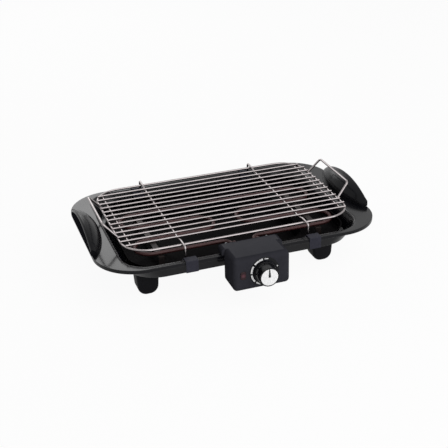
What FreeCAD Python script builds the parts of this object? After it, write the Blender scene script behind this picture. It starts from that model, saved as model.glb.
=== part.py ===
import FreeCAD, Part
import math
import os

# Table-top electric barbecue grill, without a lid: a moulded tub with two wings, a drip pan,
# a lift-out heater with its control box hung on the front rim, and a wire rack on four legs.
# Millimetres, +Z up. The drawing is centred on the tub; place() moves it to the part's origin,
# which is the middle of the whole grill's footprint, at table level.

# Base moulding: flat flange with rounded wings, drafted tub, shelf and well
BODY_LENGTH = 531.0
BODY_DEPTH = 344.0
BODY_CORNER = 80.0
FLANGE_TOP = 94.0
FLANGE = 3.0
LIP_DROP = 4.0
EDGE_ROUND = 1.4
WALL = 2.5
WING = 44.5
RIM = 12.0
TUB_CORNER = 46.0
TUB_DEEP = 28.0
TUB_EDGE_ROUND = 1.5
TUB_END_DRAFT = 13.0
TUB_SIDE_DRAFT = 8.0
SHELF_CORNER = 56.0
LEDGE_END = 72.0
LEDGE_SIDE = 41.0
WELL_CORNER = 40.0
WELL_DEEP = 24.0
WELL_DRAFT = 6.0
RIB = 2.0
RIB_SPACING = 80.0

# Feet, each one a cored U-shaped moulding with a rubber pad
FOOT_WELL_GAP = 10.0
FOOT_SET_IN = 70.0
FOOT_WIDTH = 45.0
FOOT_TAPER = 4.5
FOOT_DEPTH = 34.0
FOOT_ROUND = 15.0
FOOT_EDGE = 5.0
FOOT_WALL = 5.0
FOOT_CORE_DEEP = 30.0
FOOT_POST = 12.0
PAD_DIAMETER = 18.0
PAD_PROUD = 1.5
PAD_SUNK = 1.5

# Grips, hollow quarter-round humps on the wing ends, with their ridge along the outside
GRIP_END_GAP = 84.0
GRIP_RADIUS = 35.0
GRIP_END_RADIUS = 12.0
GRIP_OVERHANG = 1.5
GRIP_WALL = 3.0
GRIP_RIDGE_ROUND = 5.0
GRIP_SCREW_END = 40.0
GRIP_SCREW_INSET = 16.0
GRIP_BOSS = 10.0

# Screws of every kind
SCREW = 4.0
SCREW_HEAD = 8.0
SCREW_HEAD_HIGH = 2.0
SMALL_SCREW = 3.0
SMALL_HEAD = 6.0
SCREW_CLEARANCE = 0.05
HOLE_CLEARANCE = 0.3
FOOT_SCREW_LENGTH = 20.0
GRIP_SCREW_LENGTH = 14.0
SMALL_SCREW_LENGTH = 12.0

# Clips that hook over the front and rear rim and take the legs of the rack
LEG_INSET = 99.0
CLIP_WIDTH = 22.0
CLIP_OFFSET = 6.0
CLIP_STRAP = 2.0
CLIP_TONGUE = 20.0
CLIP_TONGUE_WALL = 2.2
CLIP_WEB = 2.0
CLIP_BLOCK = 4.0
CLIP_BLOCK_DROP = 4.5
CLIP_BLOCK_HIGH = 10.0
CLIP_GAP = 0.3
CLIP_ROUND = 1.6
SOCKET_SIDE = 2.5
SOCKET_FLOOR = 2.0

# Drip pan of enamelled sheet steel, hung on the shelf by its own step
PAN_END_GAP = 4.0
PAN_SIDE_GAP = 8.0
PAN_CORNER = 50.0
PAN_FLARE = 4.0
PAN_WALL_HIGH = 16.0
PAN_RIM = 1.5
PAN_SHEET = 1.2
PAN_GAP = 1.5
PAN_FLOOR_GAP = 1.0

# Rack of chromed steel wire
FRAME_END_GAP = 7.0
FRAME_SIDE_GAP = 23.0
FRAME_CORNER = 50.0
FRAME_RISE = 16.0
FRAME_WIRE = 4.2
BAR_WIRE = 3.2
BAR_COUNT = 13
BAR_MARGIN = 26.8
BAR_OVERHANG = 1.0
LEG_WIRE = 3.8
LEG_BEND = 5.0
LEG_RISE = 14.0
WELD = 0.4
END_WIRE_INSET = 14.0
HANDLE_REACH = 23.0
HANDLE_RISE = 28.0
HANDLE_LEAN = 6.0
HANDLE_BEND = 7.0
HANDLE_BAR_COUNT = 3.7

# Tubular heating element, bent into four passes each side of its two stems
TUBE = 7.0
TUBE_BELOW_RIM = 5.0
TUBE_FRONT_GAP = 32.0
TUBE_REAR_GAP = 91.0
TUBE_END_GAP = 16.0
PASS_COUNT = 4
TUBE_MIDDLE = 24.0
STEM_TUNNEL_GAP = 10.0
STEM_RISE = 5.4
STEM_SLOPE = 14.0
STEM_BEND = 8.0
STEM_TURN = 14.0
STEM_STRAIGHT = 3.0
TERMINAL = 3.0
TERMINAL_LENGTH = 4.0
SUPPORT_INSET = 38.0
SUPPORT_WIDTH = 10.0
SUPPORT_SHEET = 1.5
SUPPORT_END = 9.0
SUPPORT_FOOT = 12.0

# Control box with a saddle that rests on the rim
BOX_WIDTH = 103.0
BOX_DEPTH = 48.4
BOX_RIM_GAP = 0.6
BOX_HIGH = 62.0
BOX_RISE = 12.0
BOX_WALL = 2.5
BOX_TOP_ROUND = 10.0
BOX_BOTTOM_ROUND = 8.5
BOX_EDGE = 7.5
SADDLE_LAP = 4.5
SADDLE_REACH = 12.0
SADDLE_OVERLAP = 10.0
SADDLE_ROUND = 6.0
SADDLE_FLOOR = 1.5
TUNNEL_SCREW_GAP = 6.0
BRACKET_INSET = 11.0
BRACKET_DROP = 3.0
BRACKET_SHEET = 1.6
BRACKET_SCREW_INSET = 7.0
COVER_SUNK = 2.4
COVER_GAP = 0.3
COVER_TOP_GAP = 1.0
COVER_SCREW_INSET = 4.2
COVER_SCREW_TOP = 14.0
COVER_BOSS = 9.4
COVER_BOSS_LENGTH = 15.0
VENT_COUNT = 5
VENT_WIDTH = 3.0
VENT_HIGH = 16.0
VENT_SPACING = 8.0

# Knob, dial and indicator on the front of the box
DIAL_RAISED = 1.4
DIAL_OUTER = 53.0
DIAL_INNER = 43.0
DIAL_THICK = 1.2
SHAFT = 6.0
SHAFT_CLEARANCE = 0.05
SHAFT_IN_KNOB = 14.0
SHAFT_IN_THERMOSTAT = 8.0
BUSH = 10.0
NUT = 16.0
NUT_THICK = 2.5
KNOB_GAP = 0.8
KNOB_SKIRT = 40.0
KNOB_SKIRT_HIGH = 4.0
KNOB_GRIP = 37.0
KNOB_FACE = 35.0
KNOB_LENGTH = 23.0
KNOB_RECESS = 20.0
KNOB_RECESS_DEEP = 4.0
CAP = 32.5
CAP_THICK = 1.2
CAP_SUNK = 0.8
CAP_CLEARANCE = 0.1
POINTER_LENGTH = 16.0
POINTER_WIDE = 4.2
POINTER_TIP = 1.6
POINTER_THICK = 0.3
LENS_INSET = 16.5
LENS_DIAL_GAP = 7.1
LENS_WIDTH = 10.0
LENS_HIGH = 15.0
LENS_ROUND = 3.0
LENS_PROUD = 1.2
LENS_CLEARANCE = 0.1

# Electrical pieces inside the control box
THERMOSTAT_WIDTH = 34.0
THERMOSTAT_HIGH = 24.0
THERMOSTAT_REAR_GAP = 27.9
CUTOUT = 14.0
CUTOUT_THICK = 6.0
LAMP = 6.0
LAMP_LENGTH = 14.0
BLOCK_END = 6.0
BLOCK_DEPTH = 14.0
BLOCK_HIGH = 13.0
BLOCK_POLES = 3
BLOCK_SLOT = 2.5
BLOCK_SLOT_DEEP = 6.5
BLOCK_SET_IN = 27.4
LEAD = 2.4
LEAD_BEND = 3.0
LEAD_GAP = 1.5
LAMP_LEAD_SET_IN = 3.0
LAMP_LEAD_RISE = 6.0
GLAND = 10.0
GLAND_BORE = 7.0
GLAND_FLANGE = 14.0
GLAND_COLLAR = 2.0
GLAND_DEPTH = 6.0
GLAND_SET_IN = 25.4
GLAND_RISE = 16.0

# Levels and lines that follow from the sizes above
TUB_LENGTH = BODY_LENGTH - 2 * WING
TUB_DEPTH = BODY_DEPTH - 2 * RIM
SHELF_LENGTH = TUB_LENGTH - 2 * TUB_END_DRAFT
SHELF_DEPTH = TUB_DEPTH - 2 * TUB_SIDE_DRAFT
WELL_LENGTH = SHELF_LENGTH - 2 * LEDGE_END
WELL_DEPTH = SHELF_DEPTH - 2 * LEDGE_SIDE
FOOT_X = WELL_LENGTH / 2 + WALL + FOOT_WELL_GAP + FOOT_WIDTH / 2
FOOT_Y = SHELF_DEPTH / 2 - FOOT_SET_IN
GRIP_LENGTH = BODY_DEPTH - 2 * GRIP_END_GAP
GRIP_SCREW_Y = GRIP_LENGTH / 2 - GRIP_SCREW_END
PAN_LENGTH = SHELF_LENGTH - 2 * PAN_END_GAP
PAN_DEPTH = SHELF_DEPTH - 2 * PAN_SIDE_GAP
FRAME_LENGTH = TUB_LENGTH - 2 * FRAME_END_GAP
FRAME_DEPTH = TUB_DEPTH - 2 * FRAME_SIDE_GAP
FRAME_HIGH = FLANGE_TOP + FRAME_RISE
LEG_X = FRAME_LENGTH / 2 - LEG_INSET
BAR_SPACING = (FRAME_DEPTH - 2 * BAR_MARGIN) / (BAR_COUNT - 1)
HANDLE_FOOT = BAR_SPACING * HANDLE_BAR_COUNT
TUBE_HIGH = FLANGE_TOP - TUBE_BELOW_RIM
TUBE_FRONT = TUBE_FRONT_GAP - PAN_DEPTH / 2
TUBE_PITCH = (PAN_DEPTH - TUBE_FRONT_GAP - TUBE_REAR_GAP) / (PASS_COUNT - 1)
TUBE_END = PAN_LENGTH / 2 - TUBE_END_GAP
SUPPORT_X = TUBE_END - SUPPORT_INSET
BOX_TOP = FLANGE_TOP + BOX_RISE
BOX_BOTTOM = BOX_TOP - BOX_HIGH
SADDLE_WIDTH = BOX_WIDTH + 2 * SADDLE_LAP
BRACKET_WIDTH = SADDLE_WIDTH - 2 * BRACKET_INSET
BRACKET_SCREW_X = BRACKET_WIDTH / 2 - BRACKET_SCREW_INSET
SADDLE_TUNNEL = 2 * (BRACKET_SCREW_X - TUNNEL_SCREW_GAP)
STEM_X = SADDLE_TUNNEL / 2 - STEM_TUNNEL_GAP
STEM_HIGH = FLANGE_TOP + STEM_RISE
BOX_MIDDLE = (BOX_TOP + BOX_BOTTOM) / 2
DIAL_HIGH = BOX_MIDDLE + DIAL_RAISED
LENS_X = LENS_INSET - BOX_WIDTH / 2
DIAL_X = LENS_X + LENS_WIDTH / 2 + LENS_DIAL_GAP + DIAL_OUTER / 2
BLOCK_WIDTH = 2 * (STEM_X + BLOCK_END)
THERMOSTAT_DEPTH = BOX_DEPTH - BOX_WALL - THERMOSTAT_REAR_GAP
GLAND_HIGH = BOX_BOTTOM + GLAND_RISE
FLANGE_UNDER = FLANGE_TOP - FLANGE
SHELF_TOP = FLANGE_TOP - TUB_DEEP
SHELF_UNDER = SHELF_TOP - WALL
WELL_FLOOR = SHELF_TOP - WELL_DEEP
FRONT_EDGE = -BODY_DEPTH / 2
RIM_EDGE = -TUB_DEPTH / 2
SADDLE_REAR = RIM_EDGE + SADDLE_REACH
TUB_DRAFT = (TUB_DEPTH - SHELF_DEPTH) / 2 / TUB_DEEP
CLIP_LOW = FLANGE_TOP - CLIP_BLOCK_DROP - CLIP_BLOCK_HIGH
LEG_Y = RIM_EDGE + TUB_DRAFT * (FLANGE_TOP - CLIP_LOW) + CLIP_GAP + SOCKET_SIDE
LEG_BOTTOM = CLIP_LOW + SOCKET_FLOOR
BAR_HIGH = FRAME_HIGH + FRAME_WIRE / 2 + BAR_WIRE / 2 - WELD
PAN_SHELF_TOP = SHELF_TOP + PAN_SHEET
BOX_REAR = FRONT_EDGE - BOX_RIM_GAP
BOX_FRONT = BOX_REAR - BOX_DEPTH
COVER_REAR = BOX_REAR - COVER_SUNK
COVER_FRONT = COVER_REAR - BOX_WALL
CUTOUT_FRONT = BOX_REAR - THERMOSTAT_REAR_GAP
CUTOUT_REAR = CUTOUT_FRONT + CUTOUT_THICK
BLOCK_FRONT = BOX_REAR - BLOCK_SET_IN
GLAND_Y = BOX_REAR - GLAND_SET_IN
KNOB_BACK = BOX_FRONT - KNOB_GAP
KNOB_FRONT = KNOB_BACK - KNOB_LENGTH
POINTER_FRONT = KNOB_FRONT + CAP_SUNK - CAP_THICK - POINTER_THICK
REAR_EDGE = BODY_DEPTH / 2 + CLIP_GAP + CLIP_TONGUE_WALL
ORIGIN_Y = (POINTER_FRONT + REAR_EDGE) / 2

V = FreeCAD.Vector
X_AXIS = V(1, 0, 0)
Y_AXIS = V(0, 1, 0)
Z_AXIS = V(0, 0, 1)
FOUR_CORNERS = [(-1, -1), (1, -1), (-1, 1), (1, 1)]


# Shared drawing tools


def place(name, *solids):
    """Moves the solids of one piece from the tub's centre to the part's origin and writes them."""
    shape = solids[0] if len(solids) == 1 else Part.makeCompound(list(solids))
    moved = shape.copy()
    moved.translate(V(0, -ORIGIN_Y, 0))
    moved.exportStep("parts/" + name + ".step")
    print(name, len(moved.Solids), round(moved.Volume, 1), moved.isValid())


def box(x, y, z):
    """A block between pairs of limits."""
    return Part.makeBox(x[1] - x[0], y[1] - y[0], z[1] - z[0], V(x[0], y[0], z[0]))


def rod(diameter, start, end):
    """A round bar between two points."""
    run = end - start
    return Part.makeCylinder(diameter / 2, run.Length, start, run)


def corner_arc(before, corner, after, radius):
    """The arc that rounds a corner, tangent to both of its sides."""
    inward = (before - corner).normalize()
    outward = (after - corner).normalize()
    half = inward.getAngle(outward) / 2
    middle = (inward + outward).normalize()
    start = corner + inward * (radius / math.tan(half))
    end = corner + outward * (radius / math.tan(half))
    crown = corner + middle * (radius / math.sin(half) - radius)
    return start, crown, end


def rounded_path(points, radii, closed):
    """Straight runs joined by tangent arcs; a radius of zero leaves a corner sharp."""
    count = len(points)
    corners = range(count) if closed else range(1, count - 1)
    arcs = {}
    for i in corners:
        if radii[i]:
            arcs[i] = corner_arc(points[i - 1], points[i], points[(i + 1) % count], radii[i])
        else:
            arcs[i] = (points[i], None, points[i])
    if not closed:
        arcs[0] = (points[0], None, points[0])
        arcs[count - 1] = (points[-1], None, points[-1])
    edges = []
    for i in range(count):
        start, crown, end = arcs[i]
        if crown:
            edges.append(Part.Arc(start, crown, end).toShape())
        following = (i + 1) % count
        if (closed or following) and end.distanceToPoint(arcs[following][0]) > 1e-6:
            edges.append(Part.makeLine(end, arcs[following][0]))
    return Part.Wire(edges)


def bent_wire(points, bend, diameter):
    """A round wire or tube bent along its points."""
    path = rounded_path(points, [bend] * len(points), False)
    section = Part.Wire(Part.makeCircle(diameter / 2, points[0], points[1] - points[0]))
    return path.makePipeShell([section], True, True)


def rounded_rectangle(length, depth, corner, z):
    """A rectangle with round corners, centred on the tub, at one level."""
    x = length / 2
    y = depth / 2
    points = [V(-x, -y, z), V(x, -y, z), V(x, y, z), V(-x, y, z)]
    return rounded_path(points, [corner] * 4, True)


def slab(length, depth, corner, z):
    """A rounded rectangle drawn up between two levels."""
    return Part.Face(rounded_rectangle(length, depth, corner, z[0])).extrude(V(0, 0, z[1] - z[0]))


def drafted(lower, upper):
    """A solid between two rounded rectangles at different levels."""
    return Part.makeLoft([rounded_rectangle(*lower), rounded_rectangle(*upper)], True, True)


def edges_at(shape, test):
    """The edges of a shape whose every vertex passes a test."""
    return [e for e in shape.Edges if all(test(v.Point) for v in e.Vertexes)]


def close_to(a, b):
    return abs(a - b) < 1e-4


def screw(diameter, head, length, start, direction):
    """A plain screw: the head lies behind its seat at start, the shank runs along direction."""
    shank = Part.makeCylinder(diameter / 2, length, start, direction)
    return shank.fuse(Part.makeCylinder(head / 2, SCREW_HEAD_HIGH, start, direction * -1))


# Base moulding


def tub_inside():
    tub = drafted((SHELF_LENGTH, SHELF_DEPTH, SHELF_CORNER, SHELF_TOP),
                  (TUB_LENGTH, TUB_DEPTH, TUB_CORNER, FLANGE_TOP))
    well = drafted((WELL_LENGTH - 2 * WELL_DRAFT, WELL_DEPTH - 2 * WELL_DRAFT, WELL_CORNER, WELL_FLOOR),
                   (WELL_LENGTH, WELL_DEPTH, WELL_CORNER, SHELF_TOP))
    return tub.fuse(well)


def tub_outside():
    grow = 2 * WALL
    tub = drafted((SHELF_LENGTH + grow, SHELF_DEPTH + grow, SHELF_CORNER + WALL, SHELF_UNDER),
                  (TUB_LENGTH + grow, TUB_DEPTH + grow, TUB_CORNER + WALL, FLANGE_UNDER))
    well = drafted((WELL_LENGTH - 2 * WELL_DRAFT + grow, WELL_DEPTH - 2 * WELL_DRAFT + grow,
                    WELL_CORNER + WALL, WELL_FLOOR - WALL),
                   (WELL_LENGTH + grow, WELL_DEPTH + grow, WELL_CORNER + WALL, SHELF_UNDER))
    return tub.fuse(well)


def foot_boss(x, y):
    return rod(FOOT_POST, V(x, y, SHELF_UNDER - WALL), V(x, y, SHELF_UNDER))


def foot_screw_hole(x, y):
    hole = rod(SCREW + 2 * HOLE_CLEARANCE, V(x, y, SHELF_UNDER - WALL), V(x, y, SHELF_TOP))
    seat = SHELF_TOP - SCREW_HEAD_HIGH - HOLE_CLEARANCE
    return hole.fuse(rod(SCREW_HEAD + 2 * HOLE_CLEARANCE, V(x, y, seat), V(x, y, SHELF_TOP)))


def grip_screw_places():
    x = BODY_LENGTH / 2 + GRIP_OVERHANG - GRIP_SCREW_INSET
    return [(side * x, end * GRIP_SCREW_Y) for side, end in FOUR_CORNERS]


def wing_ribs():
    """Stiffening ribs under the wings, from the tub wall out to the lip."""
    ribs = []
    for side in (-1, 1):
        inner = side * (TUB_LENGTH / 2 + WALL / 2)
        outer = side * (BODY_LENGTH / 2 - WALL / 2)
        for step in (-1, 0, 1):
            y = step * RIB_SPACING
            ribs.append(box(sorted((inner, outer)), (y - RIB / 2, y + RIB / 2),
                            (FLANGE_UNDER - LIP_DROP, FLANGE_UNDER)))
    return ribs


def base_tray():
    flange = slab(BODY_LENGTH, BODY_DEPTH, BODY_CORNER, (FLANGE_UNDER - LIP_DROP, FLANGE_TOP))
    flange = flange.makeFillet(EDGE_ROUND, edges_at(flange, lambda p: close_to(p.z, FLANGE_TOP)))
    inside_lip = slab(BODY_LENGTH - 2 * WALL, BODY_DEPTH - 2 * WALL, BODY_CORNER - WALL,
                      (FLANGE_UNDER - LIP_DROP, FLANGE_UNDER))
    shell = flange.cut(inside_lip).fuse([tub_outside()] + wing_ribs())
    shell = shell.cut(tub_inside())
    rim = edges_at(shell, lambda p: close_to(p.z, FLANGE_TOP) and abs(p.x) < TUB_LENGTH / 2 + WALL
                   and abs(p.y) < TUB_DEPTH / 2 + WALL)
    shell = shell.makeFillet(TUB_EDGE_ROUND, rim)
    feet = [(side * FOOT_X, end * FOOT_Y) for side, end in FOUR_CORNERS]
    shell = shell.fuse([foot_boss(x, y) for x, y in feet])
    holes = [foot_screw_hole(x, y) for x, y in feet]
    holes += [rod(SCREW + 2 * HOLE_CLEARANCE, V(x, y, FLANGE_UNDER), V(x, y, FLANGE_TOP))
              for x, y in grip_screw_places()]
    return shell.cut(holes).removeSplitter()


# Feet


def foot(x, y):
    """A U-shaped foot, tapered and round below, cored from the top round a screw post."""
    half = FOOT_WIDTH / 2
    outline = [V(-half, 0, SHELF_UNDER), V(half, 0, SHELF_UNDER),
               V(half - FOOT_TAPER, 0, PAD_PROUD), V(FOOT_TAPER - half, 0, PAD_PROUD)]
    face = Part.Face(rounded_path(outline, [0, 0, FOOT_ROUND, FOOT_ROUND], True))
    face.translate(V(0, -FOOT_DEPTH / 2, 0))
    body = face.extrude(V(0, FOOT_DEPTH, 0))
    sides = [e for e in body.Edges if close_to(abs(e.CenterOfMass.y), FOOT_DEPTH / 2)
             and not close_to(e.CenterOfMass.z, SHELF_UNDER)]
    body = body.makeFillet(FOOT_EDGE, sides)
    core = box((FOOT_WALL + FOOT_TAPER - half, half - FOOT_WALL - FOOT_TAPER),
               (FOOT_WALL - FOOT_DEPTH / 2, FOOT_DEPTH / 2 - FOOT_WALL),
               (SHELF_UNDER - FOOT_CORE_DEEP, SHELF_UNDER))
    post_top = SHELF_UNDER - WALL
    core = core.cut(rod(FOOT_POST, V(0, 0, SHELF_UNDER - FOOT_CORE_DEEP), V(0, 0, post_top)))
    pilot = rod(SCREW + 2 * SCREW_CLEARANCE, V(0, 0, SHELF_UNDER - FOOT_CORE_DEEP), V(0, 0, post_top))
    pad_seat = rod(PAD_DIAMETER + 2 * HOLE_CLEARANCE, V(0, 0, 0), V(0, 0, PAD_PROUD + PAD_SUNK))
    body = body.cut([core, pilot, pad_seat])
    body.translate(V(x, y, 0))
    return body


def foot_pad(x, y):
    return rod(PAD_DIAMETER, V(x, y, 0), V(x, y, PAD_PROUD + PAD_SUNK))


def foot_screw(x, y):
    seat = V(x, y, SHELF_TOP - SCREW_HEAD_HIGH - HOLE_CLEARANCE)
    return screw(SCREW, SCREW_HEAD, FOOT_SCREW_LENGTH, seat, Z_AXIS * -1)


# Grips


def hump(inset):
    """The right grip's form, a bowed profile turned round its outer edge; inset makes its hollow."""
    outer = BODY_LENGTH / 2 + GRIP_OVERHANG - inset
    half = GRIP_LENGTH / 2 - inset
    middle = GRIP_RADIUS - 2 * inset
    end = GRIP_END_RADIUS - 2 * inset
    base = [V(outer, -half, FLANGE_TOP), V(outer - end, -half, FLANGE_TOP), V(outer - middle, 0, FLANGE_TOP),
            V(outer - end, half, FLANGE_TOP), V(outer, half, FLANGE_TOP)]
    bow = Part.Arc(base[1], base[2], base[3]).toShape()
    sides = [Part.makeLine(base[0], base[1]), bow, Part.makeLine(base[3], base[4]),
             Part.makeLine(base[4], base[0])]
    return Part.Face(Part.Wire(sides)).revolve(base[0], Y_AXIS, 90)


def right_grip():
    skin = hump(0)
    outer = BODY_LENGTH / 2 + GRIP_OVERHANG
    ridge = edges_at(skin, lambda p: close_to(p.x, outer) and p.z > FLANGE_TOP + GRIP_WALL)
    skin = skin.makeFillet(GRIP_RIDGE_ROUND, ridge)
    bosses = []
    pilots = []
    for x, y in grip_screw_places():
        if x > 0:
            top = V(x, y, FLANGE_TOP + GRIP_RADIUS)
            bosses.append(rod(GRIP_BOSS, V(x, y, FLANGE_TOP), top).common(skin))
            pilots.append(rod(SCREW + 2 * SCREW_CLEARANCE, V(x, y, FLANGE_TOP),
                              V(x, y, FLANGE_TOP + GRIP_SCREW_LENGTH)))
    return skin.cut(hump(GRIP_WALL)).fuse(bosses).cut(pilots)


def grip_screw(x, y):
    return screw(SCREW, SCREW_HEAD, GRIP_SCREW_LENGTH, V(x, y, FLANGE_UNDER), Z_AXIS)


# Rack clips


def front_clip(x):
    """One hook over the front rim: tongue outside, strap on top, and inside a web and a socket block."""
    top = FLANGE_TOP + CLIP_STRAP
    tongue = FRONT_EDGE - CLIP_GAP
    wall = RIM_EDGE + CLIP_GAP
    block_inner = LEG_Y + CLIP_BLOCK
    block_top = FLANGE_TOP - CLIP_BLOCK_DROP
    outline = [V(0, tongue - CLIP_TONGUE_WALL, top), V(0, wall + CLIP_WEB, top),
               V(0, wall + CLIP_WEB + TUB_DRAFT * CLIP_BLOCK_DROP, block_top), V(0, block_inner, block_top),
               V(0, block_inner, CLIP_LOW), V(0, wall + TUB_DRAFT * (FLANGE_TOP - CLIP_LOW), CLIP_LOW),
               V(0, wall, FLANGE_TOP), V(0, tongue, FLANGE_TOP), V(0, tongue, FLANGE_TOP - CLIP_TONGUE),
               V(0, tongue - CLIP_TONGUE_WALL, FLANGE_TOP - CLIP_TONGUE)]
    radii = [CLIP_ROUND, CLIP_ROUND, 0, CLIP_ROUND] + [0] * (len(outline) - 4)
    clip = Part.Face(rounded_path(outline, radii, True)).extrude(V(CLIP_WIDTH, 0, 0))
    clip.translate(V(x - CLIP_OFFSET, 0, 0))
    return clip.cut(rod(LEG_WIRE + 2 * CLIP_GAP, V(x, LEG_Y, LEG_BOTTOM), V(x, LEG_Y, top)))


def rack_clips():
    front = [front_clip(-LEG_X), front_clip(LEG_X)]
    rear = [clip.copy() for clip in front]
    for clip in rear:
        clip.rotate(V(0, 0, 0), Z_AXIS, 180)
    return front + rear


# Drip pan


def pan_form(inset, raised, top):
    """The pan's outside, or with inset and raised its inside, up to the level given."""
    low = SHELF_TOP + raised
    well_low = WELL_FLOOR + PAN_FLOOR_GAP + raised
    shrink = 2 * (PAN_GAP + inset)
    upper = drafted((PAN_LENGTH - 2 * PAN_FLARE - 2 * inset, PAN_DEPTH - 2 * PAN_FLARE - 2 * inset,
                     PAN_CORNER - inset, low),
                    (PAN_LENGTH - 2 * inset, PAN_DEPTH - 2 * inset, PAN_CORNER - inset, top))
    well = drafted((WELL_LENGTH - 2 * WELL_DRAFT - shrink, WELL_DEPTH - 2 * WELL_DRAFT - shrink,
                    WELL_CORNER - inset, well_low),
                   (WELL_LENGTH - shrink, WELL_DEPTH - shrink, WELL_CORNER - inset, low))
    return upper.fuse(well)


def drip_pan():
    top = SHELF_TOP + PAN_WALL_HIGH
    rim = slab(PAN_LENGTH + 2 * PAN_RIM, PAN_DEPTH + 2 * PAN_RIM, PAN_CORNER + PAN_RIM,
               (top - PAN_SHEET, top))
    return pan_form(0, 0, top).fuse(rim).cut(pan_form(PAN_SHEET, PAN_SHEET, top)).removeSplitter()


# Rack


def bar_places():
    first = -BAR_SPACING * (BAR_COUNT - 1) / 2
    return [first + BAR_SPACING * i for i in range(BAR_COUNT)]


def rack_frame():
    """The perimeter wire: four straight runs fused with four quarter bends."""
    x = FRAME_LENGTH / 2
    y = FRAME_DEPTH / 2
    long_run = x - FRAME_CORNER
    short_run = y - FRAME_CORNER
    runs = []
    for side in (-1, 1):
        long_start = V(-long_run, side * y, FRAME_HIGH)
        short_start = V(side * x, -short_run, FRAME_HIGH)
        runs.append(rod(FRAME_WIRE, long_start, long_start + X_AXIS * 2 * long_run))
        runs.append(rod(FRAME_WIRE, short_start, short_start + Y_AXIS * 2 * short_run))
    for turn, (side, end) in zip((180, 270, 90, 0), FOUR_CORNERS):
        bend = Part.makeTorus(FRAME_CORNER, FRAME_WIRE / 2, V(0, 0, 0), Z_AXIS, 0, 360, 90)
        bend.rotate(V(0, 0, 0), Z_AXIS, turn)
        bend.translate(V(side * long_run, end * short_run, FRAME_HIGH))
        runs.append(bend)
    return runs[0].fuse(runs[1:]).removeSplitter()


def rack_bar(y):
    """One long bar that ends on the frame, sooner where the frame bends round its corner."""
    past = max(0.0, abs(y) - (FRAME_DEPTH / 2 - FRAME_CORNER))
    end = FRAME_LENGTH / 2 - FRAME_CORNER + math.sqrt(FRAME_CORNER ** 2 - past ** 2) + BAR_OVERHANG
    return rod(BAR_WIRE, V(-end, y, BAR_HIGH), V(end, y, BAR_HIGH))


def rack_leg_wire(x):
    """One long wire under the bars that climbs over the frame and bends down into two clips."""
    low = BAR_HIGH - BAR_WIRE / 2 - LEG_WIRE / 2 + WELD
    high = FRAME_HIGH + FRAME_WIRE / 2 + LEG_WIRE / 2 - WELD
    climb = bar_places()[0] - LEG_WIRE
    route = [V(x, LEG_Y, LEG_BOTTOM), V(x, LEG_Y, high), V(x, climb - LEG_RISE, high), V(x, climb, low)]
    route += [V(p.x, -p.y, p.z) for p in reversed(route)]
    return bent_wire(route, LEG_BEND, LEG_WIRE)


def rack_end_wires():
    x = FRAME_LENGTH / 2 - END_WIRE_INSET
    z = BAR_HIGH - BAR_WIRE + WELD
    reach = bar_places()[-1] + BAR_WIRE
    return [rod(BAR_WIRE, V(side * x, -reach, z), V(side * x, reach, z)) for side in (-1, 1)]


def rack_handle(side):
    """A wire loop that leans out over the grip, welded to the frame between two bars."""
    inner = side * FRAME_LENGTH / 2
    outer = side * (FRAME_LENGTH / 2 + HANDLE_REACH)
    low = FRAME_HIGH + FRAME_WIRE / 2 - WELD
    high = FRAME_HIGH + HANDLE_RISE
    half = HANDLE_FOOT - HANDLE_LEAN
    route = [V(inner, -HANDLE_FOOT, low), V(outer, -half, high), V(outer, half, high),
             V(inner, HANDLE_FOOT, low)]
    return bent_wire(route, HANDLE_BEND, FRAME_WIRE)


# Heating element and what carries it


def pass_places():
    return [TUBE_FRONT + TUBE_PITCH * i for i in range(PASS_COUNT)]


def heating_element():
    """One tube from stem to stem: out to the left, back, out again, then the same on the right."""
    stem_end = BOX_REAR - SADDLE_OVERLAP
    slope_end = TUBE_FRONT - STEM_TURN - STEM_STRAIGHT
    a, b, c, d = pass_places()
    half = [V(-STEM_X, stem_end, STEM_HIGH), V(-STEM_X, slope_end - STEM_SLOPE, STEM_HIGH),
            V(-STEM_X, slope_end, TUBE_HIGH), V(-STEM_X, a, TUBE_HIGH)]
    turns = [V(-TUBE_END, a, TUBE_HIGH), V(-TUBE_END, b, TUBE_HIGH), V(-TUBE_MIDDLE, b, TUBE_HIGH),
             V(-TUBE_MIDDLE, c, TUBE_HIGH), V(-TUBE_END, c, TUBE_HIGH), V(-TUBE_END, d, TUBE_HIGH)]
    half += turns
    route = half + [V(-p.x, p.y, p.z) for p in reversed(half)]
    radii = [0, STEM_BEND, STEM_BEND, STEM_TURN] + [TUBE_PITCH / 2] * len(turns)
    radii += list(reversed(radii))
    path = rounded_path(route, radii, False)
    section = Part.Wire(Part.makeCircle(TUBE / 2, route[0], Y_AXIS))
    return path.makePipeShell([section], True, True)


def element_terminals():
    starts = [V(side * STEM_X, BOX_REAR - SADDLE_OVERLAP, STEM_HIGH) for side in (-1, 1)]
    return [rod(TERMINAL, start, start - Y_AXIS * TERMINAL_LENGTH) for start in starts]


def element_support(x):
    """A bent strip across the passes, with two legs that stand on the pan's shelf."""
    top = TUBE_HIGH - TUBE / 2
    front = pass_places()[0] - SUPPORT_END
    rear = pass_places()[-1] + SUPPORT_END
    low = PAN_SHELF_TOP
    t = SUPPORT_SHEET
    outline = [V(0, front - SUPPORT_FOOT, low), V(0, front, low), V(0, front, top - t), V(0, rear, top - t),
               V(0, rear, low), V(0, rear + SUPPORT_FOOT, low), V(0, rear + SUPPORT_FOOT, low + t),
               V(0, rear + t, low + t), V(0, rear + t, top), V(0, front - t, top), V(0, front - t, low + t),
               V(0, front - SUPPORT_FOOT, low + t)]
    strip = Part.Face(rounded_path(outline, [0] * len(outline), True)).extrude(V(SUPPORT_WIDTH, 0, 0))
    strip.translate(V(x - SUPPORT_WIDTH / 2, 0, 0))
    return strip


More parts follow.
